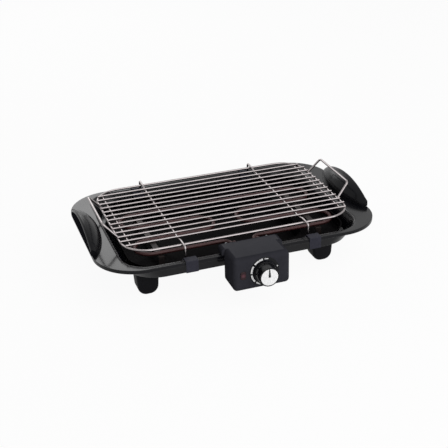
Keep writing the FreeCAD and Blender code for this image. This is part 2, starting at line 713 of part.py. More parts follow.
def element_bracket():
    """The steel plate behind the saddle that the two stems are brazed through."""
    half = BRACKET_WIDTH / 2
    plate = box((-half, half), (SADDLE_REAR, SADDLE_REAR + BRACKET_SHEET),
                (FLANGE_TOP - BRACKET_DROP, BOX_TOP - SADDLE_ROUND))
    behind = V(0, SADDLE_REAR + BRACKET_SHEET, 0)
    for side in (-1, 1):
        stem = V(side * STEM_X, SADDLE_REAR, STEM_HIGH)
        plate = plate.cut(rod(TUBE + 2 * SCREW_CLEARANCE, stem, V(stem.x, behind.y, stem.z)))
        hole = V(side * BRACKET_SCREW_X, SADDLE_REAR, STEM_HIGH)
        plate = plate.cut(rod(SMALL_SCREW + 2 * SCREW_CLEARANCE, hole, V(hole.x, behind.y, hole.z)))
    return plate


def bracket_screw(side):
    seat = V(side * BRACKET_SCREW_X, SADDLE_REAR + BRACKET_SHEET, STEM_HIGH)
    return screw(SMALL_SCREW, SMALL_HEAD, SMALL_SCREW_LENGTH, seat, Y_AXIS * -1)


# Control box


def cover_screw_places():
    x = BOX_WIDTH / 2 - BOX_WALL - COVER_SCREW_INSET
    low = BOX_BOTTOM + BOX_WALL + COVER_SCREW_INSET
    return [(side * x, z) for side in (-1, 1) for z in (low, FLANGE_TOP - COVER_SCREW_TOP)]


def lens_block(grow, y):
    """A rounded upright window or lens on the front of the box, between two depths."""
    w = LENS_WIDTH / 2 + grow
    h = LENS_HIGH / 2 + grow
    outline = [V(LENS_X - w, y[0], BOX_MIDDLE - h), V(LENS_X + w, y[0], BOX_MIDDLE - h),
               V(LENS_X + w, y[0], BOX_MIDDLE + h), V(LENS_X - w, y[0], BOX_MIDDLE + h)]
    return Part.Face(rounded_path(outline, [LENS_ROUND + grow] * 4, True)).extrude(V(0, y[1] - y[0], 0))


def box_form(inset):
    """The box's outside, or with inset its inside, rounded in front and along its sides, square behind."""
    half = BOX_WIDTH / 2 - inset
    low = BOX_BOTTOM + inset
    front = BOX_FRONT + inset
    top = BOX_TOP - inset
    outline = [V(-half, BOX_REAR, low), V(-half, front, low), V(-half, front, top), V(-half, BOX_REAR, top)]
    face = Part.Face(rounded_path(outline, [0, BOX_BOTTOM_ROUND - inset, BOX_TOP_ROUND - inset, 0], True))
    body = face.extrude(V(2 * half, 0, 0))
    sides = [e for e in body.Edges if close_to(abs(e.CenterOfMass.x), half)
             and not close_to(e.CenterOfMass.y, BOX_REAR)]
    return body.makeFillet(BOX_EDGE - inset, sides)


def control_housing():
    """The box and its saddle in one moulding, hollow, open behind below the rim."""
    half = BOX_WIDTH / 2
    wide = SADDLE_WIDTH / 2
    saddle = box((-wide, wide), (BOX_REAR - SADDLE_OVERLAP, SADDLE_REAR), (FLANGE_TOP, BOX_TOP))
    saddle = saddle.makeFillet(SADDLE_ROUND, [e for e in saddle.Edges if close_to(e.CenterOfMass.z, BOX_TOP)
                                              or close_to(abs(e.CenterOfMass.x), wide)
                                              and not close_to(e.CenterOfMass.z, FLANGE_TOP)])
    inside = box_form(BOX_WALL)
    room = inside.common(box((-half, half), (BOX_FRONT, BOX_REAR), (BOX_BOTTOM, FLANGE_TOP)))
    loft_space = inside.common(box((-half, half), (BOX_FRONT, BOX_REAR - BOX_WALL), (FLANGE_TOP, BOX_TOP)))
    tunnel = box((-SADDLE_TUNNEL / 2, SADDLE_TUNNEL / 2), (BOX_REAR - SADDLE_OVERLAP, SADDLE_REAR),
                 (FLANGE_TOP + SADDLE_FLOOR, BOX_TOP - BOX_WALL))
    seats = [V(x, COVER_FRONT, z) for x, z in cover_screw_places()]
    bosses = [rod(COVER_BOSS, seat - Y_AXIS * COVER_BOSS_LENGTH, seat) for seat in seats]
    bosses = [boss.common(box_form(0)) for boss in bosses]
    body = box_form(0).fuse(saddle).cut([room, loft_space, tunnel]).fuse(bosses)
    seats += [V(side * BRACKET_SCREW_X, SADDLE_REAR, STEM_HIGH) for side in (-1, 1)]
    pilot = SMALL_SCREW + 2 * SCREW_CLEARANCE
    pilots = [rod(pilot, seat - Y_AXIS * SMALL_SCREW_LENGTH, seat) for seat in seats]
    front = (BOX_FRONT, BOX_FRONT + BOX_WALL)
    bush_hole = rod(BUSH + 2 * SCREW_CLEARANCE, on_dial(front[0]), on_dial(front[1]))
    window = lens_block(LENS_CLEARANCE, front)
    gland_start = V(half, GLAND_Y, GLAND_HIGH)
    gland_hole = rod(GLAND + 2 * SCREW_CLEARANCE, gland_start, gland_start - X_AXIS * BOX_WALL)
    return body.cut(pilots + [bush_hole, window, gland_hole]).removeSplitter()


def control_back_cover():
    inner = BOX_WIDTH / 2 - BOX_WALL - COVER_GAP
    low = BOX_BOTTOM + BOX_WALL + COVER_GAP
    plate = box((-inner, inner), (COVER_FRONT, COVER_REAR), (low, FLANGE_TOP - COVER_TOP_GAP))
    plate = plate.makeFillet(BOX_EDGE - BOX_WALL, [e for e in plate.Edges if close_to(e.CenterOfMass.z, low)
                                                   and close_to(abs(e.CenterOfMass.x), inner)])
    cuts = [rod(SMALL_SCREW + 2 * HOLE_CLEARANCE, V(x, COVER_FRONT, z), V(x, COVER_REAR, z))
            for x, z in cover_screw_places()]
    for i in range(VENT_COUNT):
        x = VENT_SPACING * (i - (VENT_COUNT - 1) / 2)
        middle = (low + FLANGE_TOP) / 2
        cuts.append(box((x - VENT_WIDTH / 2, x + VENT_WIDTH / 2), (COVER_FRONT, COVER_REAR),
                        (middle - VENT_HIGH / 2, middle + VENT_HIGH / 2)))
    return plate.cut(cuts)


def cover_screw(x, z):
    return screw(SMALL_SCREW, SMALL_HEAD, SMALL_SCREW_LENGTH + BOX_WALL, V(x, COVER_REAR, z), Y_AXIS * -1)


def cord_gland():
    """The bush in the right-hand wall that a supply cord would pass through."""
    outside = BOX_WIDTH / 2
    start = V(outside, GLAND_Y, GLAND_HIGH)
    collar = rod(GLAND_FLANGE, start, start + X_AXIS * GLAND_COLLAR)
    bush = rod(GLAND, start, start - X_AXIS * GLAND_DEPTH)
    bore = rod(GLAND_BORE, start - X_AXIS * GLAND_DEPTH, start + X_AXIS * GLAND_COLLAR)
    return collar.fuse(bush).cut(bore)


# Thermostat, lamp and wiring inside the box


def on_dial(y):
    return V(DIAL_X, y, DIAL_HIGH)


def thermostat():
    """A switch body behind the front wall, with a bush through it that the shaft turns in."""
    w = THERMOSTAT_WIDTH / 2
    h = THERMOSTAT_HIGH / 2
    back = BOX_FRONT + BOX_WALL
    body = box((DIAL_X - w, DIAL_X + w), (back, back + THERMOSTAT_DEPTH), (DIAL_HIGH - h, DIAL_HIGH + h))
    bush_end = on_dial(BOX_FRONT - NUT_THICK)
    body = body.fuse(rod(BUSH, bush_end, on_dial(back)))
    return body.cut(rod(SHAFT + 2 * SHAFT_CLEARANCE, bush_end, on_dial(back + SHAFT_IN_THERMOSTAT)))


def thermostat_nut():
    ring = rod(NUT, on_dial(BOX_FRONT - NUT_THICK), on_dial(BOX_FRONT))
    return ring.cut(rod(BUSH + 2 * SCREW_CLEARANCE, on_dial(BOX_FRONT - NUT_THICK), on_dial(BOX_FRONT)))


def thermal_cutout():
    return rod(CUTOUT, on_dial(CUTOUT_FRONT), on_dial(CUTOUT_REAR))


def indicator_lamp():
    front = V(LENS_X, BOX_FRONT + BOX_WALL, BOX_MIDDLE)
    return rod(LAMP, front, front + Y_AXIS * LAMP_LENGTH)


def indicator_lens():
    lens = lens_block(0, (BOX_FRONT - LENS_PROUD, BOX_FRONT + BOX_WALL))
    front = [e for e in lens.Edges if close_to(e.CenterOfMass.y, BOX_FRONT - LENS_PROUD)]
    return lens.makeFillet(LENS_PROUD / 2, front)


def terminal_block():
    low = BOX_BOTTOM + BOX_WALL
    half = BLOCK_WIDTH / 2
    block = box((-half, half), (BLOCK_FRONT, BLOCK_FRONT + BLOCK_DEPTH), (low, low + BLOCK_HIGH))
    walls = [BLOCK_WIDTH * i / BLOCK_POLES - half for i in range(1, BLOCK_POLES)]
    slots = [box((x - BLOCK_SLOT / 2, x + BLOCK_SLOT / 2), (BLOCK_FRONT, BLOCK_FRONT + BLOCK_DEPTH),
                 (low + BLOCK_HIGH - BLOCK_SLOT_DEEP, low + BLOCK_HIGH)) for x in walls]
    return block.cut(slots)


def internal_leads():
    """Two leads from the stems down to the terminal block, and one from the lamp to its middle."""
    block_top = BOX_BOTTOM + BOX_WALL + BLOCK_HIGH
    pin = BOX_REAR - SADDLE_OVERLAP - TERMINAL_LENGTH
    drop = CUTOUT_REAR + LEAD_GAP + LEAD / 2
    leads = []
    for x in (-STEM_X, STEM_X):
        route = [V(x, pin, STEM_HIGH), V(x, drop, STEM_HIGH), V(x, drop, block_top)]
        leads.append(bent_wire(route, LEAD_BEND, LEAD))
    lamp_end = BOX_FRONT + BOX_WALL + LAMP_LENGTH
    y = BLOCK_FRONT + LAMP_LEAD_SET_IN
    level = block_top + LAMP_LEAD_RISE
    route = [V(LENS_X, lamp_end, BOX_MIDDLE), V(LENS_X, y, BOX_MIDDLE), V(LENS_X, y, level), V(0, y, level),
             V(0, y, block_top)]
    leads.append(bent_wire(route, LEAD_BEND, LEAD))
    return leads


# Knob


def knob_body():
    """A tapered knob with a thin skirt, turned about the dial's axis, with its shaft socket."""
    skirt = KNOB_BACK - KNOB_SKIRT_HIGH
    outline = [V(0, KNOB_BACK, 0), V(KNOB_SKIRT / 2, KNOB_BACK, 0), V(KNOB_SKIRT / 2, skirt, 0),
               V(KNOB_GRIP / 2, skirt, 0), V(KNOB_FACE / 2, KNOB_FRONT, 0), V(0, KNOB_FRONT, 0)]
    turned = Part.Face(rounded_path(outline, [0] * len(outline), True)).revolve(V(0, 0, 0), Y_AXIS, 360)
    turned.translate(on_dial(0))
    recess = rod(KNOB_RECESS, on_dial(KNOB_BACK), on_dial(KNOB_BACK - KNOB_RECESS_DEEP))
    socket = rod(SHAFT + 2 * SHAFT_CLEARANCE, on_dial(KNOB_BACK), on_dial(KNOB_BACK - SHAFT_IN_KNOB))
    cap_seat = rod(CAP + 2 * CAP_CLEARANCE, on_dial(KNOB_FRONT), on_dial(KNOB_FRONT + CAP_SUNK))
    return turned.cut([recess, socket, cap_seat])


def knob_cap():
    back = KNOB_FRONT + CAP_SUNK
    face = back - CAP_THICK
    cap = rod(CAP, on_dial(back), on_dial(face))
    return cap.makeFillet(CAP_THICK - CAP_SUNK, [e for e in cap.Edges if close_to(e.CenterOfMass.y, face)])


def knob_pointer():
    """A thin wedge on the cap that points up at the highest heat."""
    face = KNOB_FRONT + CAP_SUNK - CAP_THICK
    top = DIAL_HIGH + POINTER_LENGTH
    outline = [V(DIAL_X - POINTER_WIDE / 2, face, DIAL_HIGH), V(DIAL_X + POINTER_WIDE / 2, face, DIAL_HIGH),
               V(DIAL_X + POINTER_TIP / 2, face, top), V(DIAL_X - POINTER_TIP / 2, face, top)]
    return Part.Face(rounded_path(outline, [0] * len(outline), True)).extrude(V(0, -POINTER_THICK, 0))


def thermostat_shaft():
    inner_end = BOX_FRONT + BOX_WALL + SHAFT_IN_THERMOSTAT
    return rod(SHAFT, on_dial(KNOB_BACK - SHAFT_IN_KNOB), on_dial(inner_end))


def dial_ring():
    front = BOX_FRONT - DIAL_THICK
    ring = rod(DIAL_OUTER, on_dial(front), on_dial(BOX_FRONT))
    return ring.cut(rod(DIAL_INNER, on_dial(front), on_dial(BOX_FRONT)))


# Every piece, written under its own name

os.makedirs("parts", exist_ok=True)

place("base_tray", base_tray())
FOOT_NAMES = ["front_left_foot", "front_right_foot", "rear_left_foot", "rear_right_foot"]
foot_places = [(side * FOOT_X, end * FOOT_Y) for side, end in FOUR_CORNERS]
for name, (x, y) in zip(FOOT_NAMES, foot_places):
    place(name, foot(x, y))
place("foot_pads", *[foot_pad(x, y) for x, y in foot_places])
place("foot_screws", *[foot_screw(x, y) for x, y in foot_places])
grip = right_grip()
place("right_grip", grip)
place("left_grip", grip.mirror(V(0, 0, 0), X_AXIS))
place("grip_screws", *[grip_screw(x, y) for x, y in grip_screw_places()])
place("rack_clips", *rack_clips())

place("drip_pan", drip_pan())

place("heating_element", heating_element())
place("element_terminals", *element_terminals())
place("element_supports", element_support(-SUPPORT_X), element_support(SUPPORT_X))
place("element_bracket", element_bracket())
place("bracket_screws", bracket_screw(-1), bracket_screw(1))
place("control_housing", control_housing())
place("control_back_cover", control_back_cover())
place("cover_screws", *[cover_screw(x, z) for x, z in cover_screw_places()])
place("cord_gland", cord_gland())
place("dial_ring", dial_ring())
place("thermostat", thermostat())
place("thermostat_nut", thermostat_nut())
place("thermal_cutout", thermal_cutout())
place("indicator_lens", indicator_lens())
place("indicator_lamp", indicator_lamp())
place("terminal_block", terminal_block())
place("internal_leads", *internal_leads())

place("knob_body", knob_body())
place("knob_cap", knob_cap())
place("knob_pointer", knob_pointer())
place("thermostat_shaft", thermostat_shaft())

place("rack_frame", rack_frame())
place("rack_bars", *[rack_bar(y) for y in bar_places()])
place("rack_leg_wires", rack_leg_wire(-LEG_X), rack_leg_wire(LEG_X))
place("rack_end_wires", *rack_end_wires())
place("left_rack_handle", rack_handle(-1))
place("right_rack_handle", rack_handle(1))
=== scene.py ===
import math

import bmesh
import bpy
from mathutils import Matrix, Vector


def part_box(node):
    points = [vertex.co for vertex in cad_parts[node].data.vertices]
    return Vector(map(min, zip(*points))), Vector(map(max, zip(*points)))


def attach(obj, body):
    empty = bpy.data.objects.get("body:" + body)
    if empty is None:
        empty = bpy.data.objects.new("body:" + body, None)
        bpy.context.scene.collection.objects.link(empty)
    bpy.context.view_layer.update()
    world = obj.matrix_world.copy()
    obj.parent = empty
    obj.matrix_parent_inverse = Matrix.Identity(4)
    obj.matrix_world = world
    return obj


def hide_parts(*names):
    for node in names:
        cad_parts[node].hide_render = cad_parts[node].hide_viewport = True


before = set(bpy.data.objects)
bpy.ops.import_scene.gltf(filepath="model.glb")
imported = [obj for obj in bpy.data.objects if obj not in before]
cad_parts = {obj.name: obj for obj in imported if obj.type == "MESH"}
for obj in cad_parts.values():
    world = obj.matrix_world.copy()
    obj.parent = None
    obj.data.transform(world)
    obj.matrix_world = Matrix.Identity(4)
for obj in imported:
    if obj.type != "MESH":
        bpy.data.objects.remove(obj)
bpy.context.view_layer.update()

# Base tray
# One injection moulding in black glossy ABS: a flat flange that widens into two wings, a lip turned
# down all round it, and a drafted tub with a shelf and a deeper well. Ribs stiffen the wings below.
MM = 0.001
MERGE = 0.001 * MM
X, Y, Z = range(3)
SMOOTH_ANGLE = math.radians(40)
EDGE_ANGLE = math.radians(35)
tray_low, tray_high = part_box("base_tray")
TUB_Y = (tray_low[Y] + tray_high[Y]) / 2
BODY_LENGTH = tray_high[X] - tray_low[X]
BODY_DEPTH = tray_high[Y] - tray_low[Y]
BODY_CORNER = 80 * MM
FLANGE_TOP = tray_high[Z]
FLANGE = 3 * MM
LIP_DROP = 4 * MM
WALL = 2.5 * MM
TUB_LENGTH = 442 * MM
TUB_DEPTH = 320 * MM
TUB_CORNER = 46 * MM
SHELF_TOP = FLANGE_TOP - 28 * MM
SHELF_LENGTH = 416 * MM
SHELF_DEPTH = 304 * MM
SHELF_CORNER = 56 * MM
WELL_FLOOR = SHELF_TOP - 24 * MM
WELL_LENGTH = 272 * MM
WELL_DEPTH = 222 * MM
WELL_CORNER = 40 * MM
WELL_DRAFT = 6 * MM
RIB = 2 * MM
RIB_SPACING = 80 * MM
TRAY_EDGE = 0.9 * MM
RIM_ROUND = 5 * MM
RIM_STEPS = 6
CORNER_STEPS = 20


def round_off(bm, geom, radius, steps, affect="EDGES"):
    """Rounds edges, or the corners of a flat outline."""
    return bmesh.ops.bevel(bm, geom=geom, offset=radius, offset_type="OFFSET", affect=affect, segments=steps,
                           profile=0.5, material=-1)


def rounded_loop(bm, length, depth, corner, z):
    """A level rectangle with round corners, centred on the tub; gives its edges."""
    corners = bmesh.ops.create_grid(bm, x_segments=1, y_segments=1, size=0.5)["verts"]
    bmesh.ops.scale(bm, vec=(length, depth, 1), verts=corners)
    bmesh.ops.translate(bm, vec=(0, TUB_Y, z), verts=corners)
    rounded = round_off(bm, corners, corner, CORNER_STEPS, "VERTICES")
    face = rounded["verts"][0].link_faces[0]
    edges = list(face.edges)
    bmesh.ops.delete(bm, geom=[face], context="FACES_ONLY")
    return edges


def dished_shell(bm, profile):
    """A closed wall through rounded rectangles, from the underside round the rim to the inside floor.

    Each size is a length, a depth, a corner radius and a level. The loops stand apart, one above
    another, while they are bridged, and then go to their levels.
    """
    loops = [rounded_loop(bm, *size[:-1], apart) for apart, size in enumerate(profile)]
    for first, second in zip(loops, loops[1:]):
        bmesh.ops.bridge_loops(bm, edges=first + second)
    bmesh.ops.edgeloop_fill(bm, edges=loops[0])
    bmesh.ops.edgeloop_fill(bm, edges=loops[-1])
    for apart, (loop, size) in enumerate(zip(loops, profile)):
        bmesh.ops.translate(bm, vec=(0, 0, size[-1] - apart), verts=list({v for e in loop for v in e.verts}))


def block(bm, low, high):
    """A plain block between two corners, for a rib, a saddle or a lens."""
    size = [b - a for a, b in zip(low, high)]
    middle = [(a + b) / 2 for a, b in zip(low, high)]
    matrix = Matrix.Translation(middle) @ Matrix.Diagonal((*size, 1))
    return bmesh.ops.create_cube(bm, size=1, matrix=matrix)["verts"]


def rim_round():
    """The sizes of the loops that round the edge between the flange and the tub's inner wall."""
    down = RIM_ROUND / math.hypot(FLANGE_TOP - SHELF_TOP, (TUB_LENGTH - SHELF_LENGTH) / 2)
    loops = []
    for step in range(RIM_STEPS + 1):
        out = RIM_ROUND * (1 - step / RIM_STEPS) ** 2
        sunk = down * (step / RIM_STEPS) ** 2
        loops.append((TUB_LENGTH + 2 * out - sunk * (TUB_LENGTH - SHELF_LENGTH),
                      TUB_DEPTH + 2 * out - sunk * (TUB_DEPTH - SHELF_DEPTH),
                      TUB_CORNER + out + sunk * (SHELF_CORNER - TUB_CORNER),
                      FLANGE_TOP - sunk * (FLANGE_TOP - SHELF_TOP)))
    return loops


bm = bmesh.new()
shelf_under = SHELF_TOP - WALL
flange_under = FLANGE_TOP - FLANGE
lip_bottom = flange_under - LIP_DROP
foot_length = WELL_LENGTH - 2 * WELL_DRAFT
foot_depth = WELL_DEPTH - 2 * WELL_DRAFT
dished_shell(bm, [
    (foot_length + 2 * WALL, foot_depth + 2 * WALL, WELL_CORNER + WALL, WELL_FLOOR - WALL),
    (WELL_LENGTH + 2 * WALL, WELL_DEPTH + 2 * WALL, WELL_CORNER + WALL, shelf_under),
    (SHELF_LENGTH + 2 * WALL, SHELF_DEPTH + 2 * WALL, SHELF_CORNER + WALL, shelf_under),
    (TUB_LENGTH + 2 * WALL, TUB_DEPTH + 2 * WALL, TUB_CORNER + WALL, flange_under),
    (BODY_LENGTH - 2 * WALL, BODY_DEPTH - 2 * WALL, BODY_CORNER - WALL, flange_under),
    (BODY_LENGTH - 2 * WALL, BODY_DEPTH - 2 * WALL, BODY_CORNER - WALL, lip_bottom),
    (BODY_LENGTH, BODY_DEPTH, BODY_CORNER, lip_bottom),
    (BODY_LENGTH, BODY_DEPTH, BODY_CORNER, FLANGE_TOP),
    *rim_round(),
    (SHELF_LENGTH, SHELF_DEPTH, SHELF_CORNER, SHELF_TOP),
    (WELL_LENGTH, WELL_DEPTH, WELL_CORNER, SHELF_TOP),
    (foot_length, foot_depth, WELL_CORNER, WELL_FLOOR),
])
for side in (-1, 1):
    inner, outer = sorted((side * (TUB_LENGTH / 2 + WALL), side * (BODY_LENGTH / 2 - WALL)))
    for step in (-1, 0, 1):
        y = TUB_Y + step * RIB_SPACING
        block(bm, (inner, y - RIB / 2, lip_bottom), (outer, y + RIB / 2, flange_under))


def linear(code):
    """The linear colour of an sRGB hex value."""
    parts = [int(code[i:i + 2], 16) / 255 for i in (1, 3, 5)]
    return [c / 12.92 if c <= 0.04045 else ((c + 0.055) / 1.055) ** 2.4 for c in parts] + [1.0]


def set_inputs(tree, node, inputs):
    """Gives a node its inputs; each is a value, or a socket that is linked to it."""
    for name, value in inputs.items():
        if isinstance(value, bpy.types.NodeSocket):
            tree.links.new(value, node.inputs[name])
        else:
            node.inputs[name].default_value = value


def add_node(tree, kind, inputs, **settings):
    """Adds one node with its own settings and inputs."""
    node = tree.nodes.new(kind)
    for name, value in settings.items():
        setattr(node, name, value)
    set_inputs(tree, node, inputs)
    return node


def new_material(name):
    """An empty material with its node tree, shader and object coordinates."""
    material = bpy.data.materials.new(name)
    material.use_nodes = True
    tree = material.node_tree
    place = add_node(tree, "ShaderNodeTexCoord", {}).outputs["Object"]
    return material, tree, tree.nodes["Principled BSDF"], place


# High-gloss ABS from a polished mould: near black, a clear reflection that wavers a little where the
# moulding sank, and a faint orange-peel skin.
gloss_abs, tree, shader, place = new_material("gloss_abs")
SINK_SIZE = 70 * MM
PEEL_SIZE = 3 * MM
sink = add_node(tree, "ShaderNodeTexNoise", {"Vector": place, "Scale": 1 / SINK_SIZE, "Detail": 3.0})
peel = add_node(tree, "ShaderNodeTexNoise", {"Vector": place, "Scale": 1 / PEEL_SIZE, "Detail": 1.0})
shades = {"Factor": sink.outputs["Fac"], "A": linear("#08080b"), "B": linear("#0f0f14")}
tone = add_node(tree, "ShaderNodeMix", shades, data_type="RGBA")
gloss = add_node(tree, "ShaderNodeMapRange", {"Value": sink.outputs["Fac"], "To Min": 0.12, "To Max": 0.2})
skin = add_node(tree, "ShaderNodeBump",
                {"Height": peel.outputs["Fac"], "Strength": 0.05, "Distance": 0.1 * MM})
set_inputs(tree, shader, {
    "Base Color": tone.outputs["Result"],
    "Roughness": gloss.outputs["Result"],
    "Normal": skin.outputs["Normal"],
    "Specular IOR Level": 0.22,
})


def make_piece(bm, name, material, body, nodes, edge=0.0, edge_segments=3):
    """Turns a mesh into a piece with rounded edges and even faces, on its body, in its nodes' place."""
    bmesh.ops.remove_doubles(bm, verts=bm.verts, dist=MERGE)
    bmesh.ops.recalc_face_normals(bm, faces=bm.faces)
    mesh = bpy.data.meshes.new(name)
    bm.to_mesh(mesh)
    bm.free()
    mesh.materials.append(material)
    mesh.polygons.foreach_set("use_smooth", [True] * len(mesh.polygons))
    mesh.set_sharp_from_angle(angle=SMOOTH_ANGLE)
    piece = bpy.data.objects.new(name, mesh)
    bpy.context.collection.objects.link(piece)
    if edge:
        rounding = piece.modifiers.new("edges", "BEVEL")
        rounding.width = edge
        rounding.segments = edge_segments
        rounding.limit_method = "ANGLE"
        rounding.angle_limit = EDGE_ANGLE
        rounding.harden_normals = True
    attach(piece, body)
    if nodes:
        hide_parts(*nodes)
    return piece


tray = make_piece(bm, "tub_tray", gloss_abs, "base", ["base_tray"], TRAY_EDGE)

# Feet
# Four U-shaped feet moulded in matt black ABS, round below, screwed up under the shelf. Each one
# stands on a rubber pad let into its underside.
FOOT_TAPER = 4.5 * MM
FOOT_ROUND = 15 * MM
FOOT_EDGE = 5 * MM
OUTLINE_STEPS = 8
EDGE_STEPS = 5
NEAR = 0.01 * MM


def lies_at(part, axis, level):
    """Whether an edge or a face lies flat at one level of an axis."""
    return all(abs(v.co[axis] - level) < NEAR for v in part.verts)


def spans(edge, axis):
    """Whether the ends of an edge lie apart along an axis."""
    return abs(edge.verts[0].co[axis] - edge.verts[1].co[axis]) > NEAR


def draw_out(bm, faces, step, keep=True):
    """Draws faces out by a step; where they are kept, they also close the side that they leave."""
    made = bmesh.ops.extrude_face_region(bm, geom=faces, use_keep_orig=keep)["geom"]
    bmesh.ops.translate(bm, vec=step, verts=[g for g in made if isinstance(g, bmesh.types.BMVert)])


def foot(bm, low, high):
    """One foot: a tapered outline with two round corners, drawn back to its depth and rounded."""
    corners = [(low[X], high[Z]), (high[X], high[Z]), (high[X] - FOOT_TAPER, low[Z]),
               (low[X] + FOOT_TAPER, low[Z])]
    outline = [bm.verts.new((x, low[Y], z)) for x, z in corners]
    bm.faces.new(outline)
    round_off(bm, outline[2:], FOOT_ROUND, OUTLINE_STEPS, "VERTICES")
    draw_out(bm, bm.faces[:], (0, high[Y] - low[Y], 0))
    rims = [e for e in bm.edges if not spans(e, Y) and not lies_at(e, Z, high[Z])]
    round_off(bm, rims, FOOT_EDGE, EDGE_STEPS)


ETCH_SIZE = 1.2 * MM
CLOUD_SIZE = 40 * MM


def etched_abs(name, dark, light, smooth, dull, shine):
    """Black ABS from an etched mould, with a fine even grain that breaks the reflection up.

    The real grain of about 0.3 mm is drawn at 1.2 mm so that it shows.
    """
    material, tree, shader, place = new_material(name)
    etch = add_node(tree, "ShaderNodeTexNoise", {"Vector": place, "Scale": 1 / ETCH_SIZE, "Detail": 2.0})
    cloud = add_node(tree, "ShaderNodeTexNoise", {"Vector": place, "Scale": 1 / CLOUD_SIZE, "Detail": 2.0})
    shades = {"Factor": cloud.outputs["Fac"], "A": linear(dark), "B": linear(light)}
    tone = add_node(tree, "ShaderNodeMix", shades, data_type="RGBA")
    gloss = add_node(tree, "ShaderNodeMapRange",
                     {"Value": etch.outputs["Fac"], "To Min": smooth, "To Max": dull})
    grain = add_node(tree, "ShaderNodeBump",
                     {"Height": etch.outputs["Fac"], "Strength": 0.1, "Distance": 0.1 * MM})
    set_inputs(tree, shader, {
        "Base Color": tone.outputs["Result"],
        "Roughness": gloss.outputs["Result"],
        "Normal": grain.outputs["Normal"],
        "Specular IOR Level": shine,
    })
    return material


# Matt ABS: deep black, hardly a reflection.
matt_abs = etched_abs("matt_abs", dark="#0a0a0d", light="#131317", smooth=0.4, dull=0.52, shine=0.1)

for name in ("front_left_foot", "front_right_foot", "rear_left_foot", "rear_right_foot"):
    bm = bmesh.new()
    foot(bm, *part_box(name))
    piece = make_piece(bm, name + "_moulding", matt_abs, "base", [name])

# Rubber pads under the feet and the bush for a cord in the box
# Black moulded rubber, dull, with a powdery bloom on it. The pads are let into the feet, the bush into
# the wall of the box, and they keep the shapes of their solids.


def dress(names, material):
    """Gives solids that keep their shape their finish."""
    for name in names:
        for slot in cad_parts[name].material_slots:
            slot.material = material


rubber, tree, shader, place = new_material("moulded_rubber")
BLOOM_SIZE = 6 * MM
bloom = add_node(tree, "ShaderNodeTexNoise", {"Vector": place, "Scale": 1 / BLOOM_SIZE, "Detail": 4.0})
shades = {"Factor": bloom.outputs["Fac"], "A": linear("#101012"), "B": linear("#2a2a2d")}
tone = add_node(tree, "ShaderNodeMix", shades, data_type="RGBA")
set_inputs(tree, shader, {
    "Base Color": tone.outputs["Result"],
    "Roughness": 0.75,
})
dress(["foot_pads", "cord_gland"], rubber)

# Grips
# Two hollow humps of black ABS, screwed to the wings from below. Each is a quarter round with its ridge
# along the outside, bowed in plan, half glossy but for its flat outer face, and reaches past the wing.
GRIP_RIDGE = 5 * MM
GRIP_END_RADIUS = 12 * MM
GRIP_END_EDGE = 1.2 * MM
BOW_STEPS = 32
QUARTER_STEPS = 14

# Half-gloss ABS: the same black from a smoother mould, with a soft reflection along the ridge.
polished_abs = etched_abs("polished_abs", dark="#09090c", light="#111115", smooth=0.2, dull=0.28, shine=0.12)

# Dull ABS: the flat outer side comes from a coarser face of the mould, soft black with no reflection.
side_abs = etched_abs("side_abs", dark="#1a1a1e", light="#242429", smooth=0.6, dull=0.7, shine=0.0)


def second_finish(bm, axis, level):
    """Gives the flat faces at one level the second material of their piece."""
    for face in bm.faces:
        if lies_at(face, axis, level):
            face.material_index = 1


def grip(name, node, side):
    """One hump: a bowed line turned a quarter round its outer edge, then closed and rounded."""
    low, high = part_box(node)
    outer = high[X] if side > 0 else low[X]
    radius = high[Z] - low[Z]
    half = (high[Y] - low[Y]) / 2
    rise = radius - GRIP_END_RADIUS
    bow_radius = (half * half + rise * rise) / (2 * rise)
    bow_angle = 2 * math.asin(half / bow_radius)
    bm = bmesh.new()
    start = bm.verts.new((outer - side * GRIP_END_RADIUS, TUB_Y - half, FLANGE_TOP))
    centre = (outer - side * (radius - bow_radius), TUB_Y, FLANGE_TOP)
    bmesh.ops.spin(bm, geom=[start], cent=centre, axis=(0, 0, -side), angle=bow_angle, steps=BOW_STEPS)
    bow = sorted(bm.verts, key=lambda v: v.co.y)
    ends = [bm.verts.new((outer, TUB_Y + reach, FLANGE_TOP)) for reach in (-half, half)]
    bm.edges.new((ends[0], bow[0]))
    bm.edges.new((ends[1], bow[-1]))
    profile = bm.verts[:] + bm.edges[:]
    bmesh.ops.spin(bm, geom=profile, cent=(outer, TUB_Y, FLANGE_TOP), axis=(0, side, 0), angle=math.pi / 2,
                   steps=QUARTER_STEPS)
    bmesh.ops.remove_doubles(bm, verts=bm.verts, dist=MERGE)
    corners = [v for v in bm.verts if abs(v.co.x - outer) < NEAR and abs(v.co.z - FLANGE_TOP) < NEAR]
    edge = bm.edges.new(corners)
    open_edges = [e for e in bm.edges if e.is_boundary]
    for axis, level in ((X, outer), (Z, FLANGE_TOP)):
        flat = [e for e in open_edges if lies_at(e, axis, level)]
        bmesh.ops.edgeloop_fill(bm, edges=flat + [edge])
    ridge = [e for e in bm.edges if len(e.link_faces) == 2 and lies_at(e, X, outer) and spans(e, Y)
             and all(v.co.z > FLANGE_TOP + GRIP_END_RADIUS / 2 for v in e.verts)]
    round_off(bm, ridge, GRIP_RIDGE, EDGE_STEPS)
    second_finish(bm, X, outer)
    piece = make_piece(bm, name, polished_abs, "base", [node], GRIP_END_EDGE)
    piece.data.materials.append(side_abs)


grip("left_hump", "left_grip", -1)
grip("right_hump", "right_grip", 1)

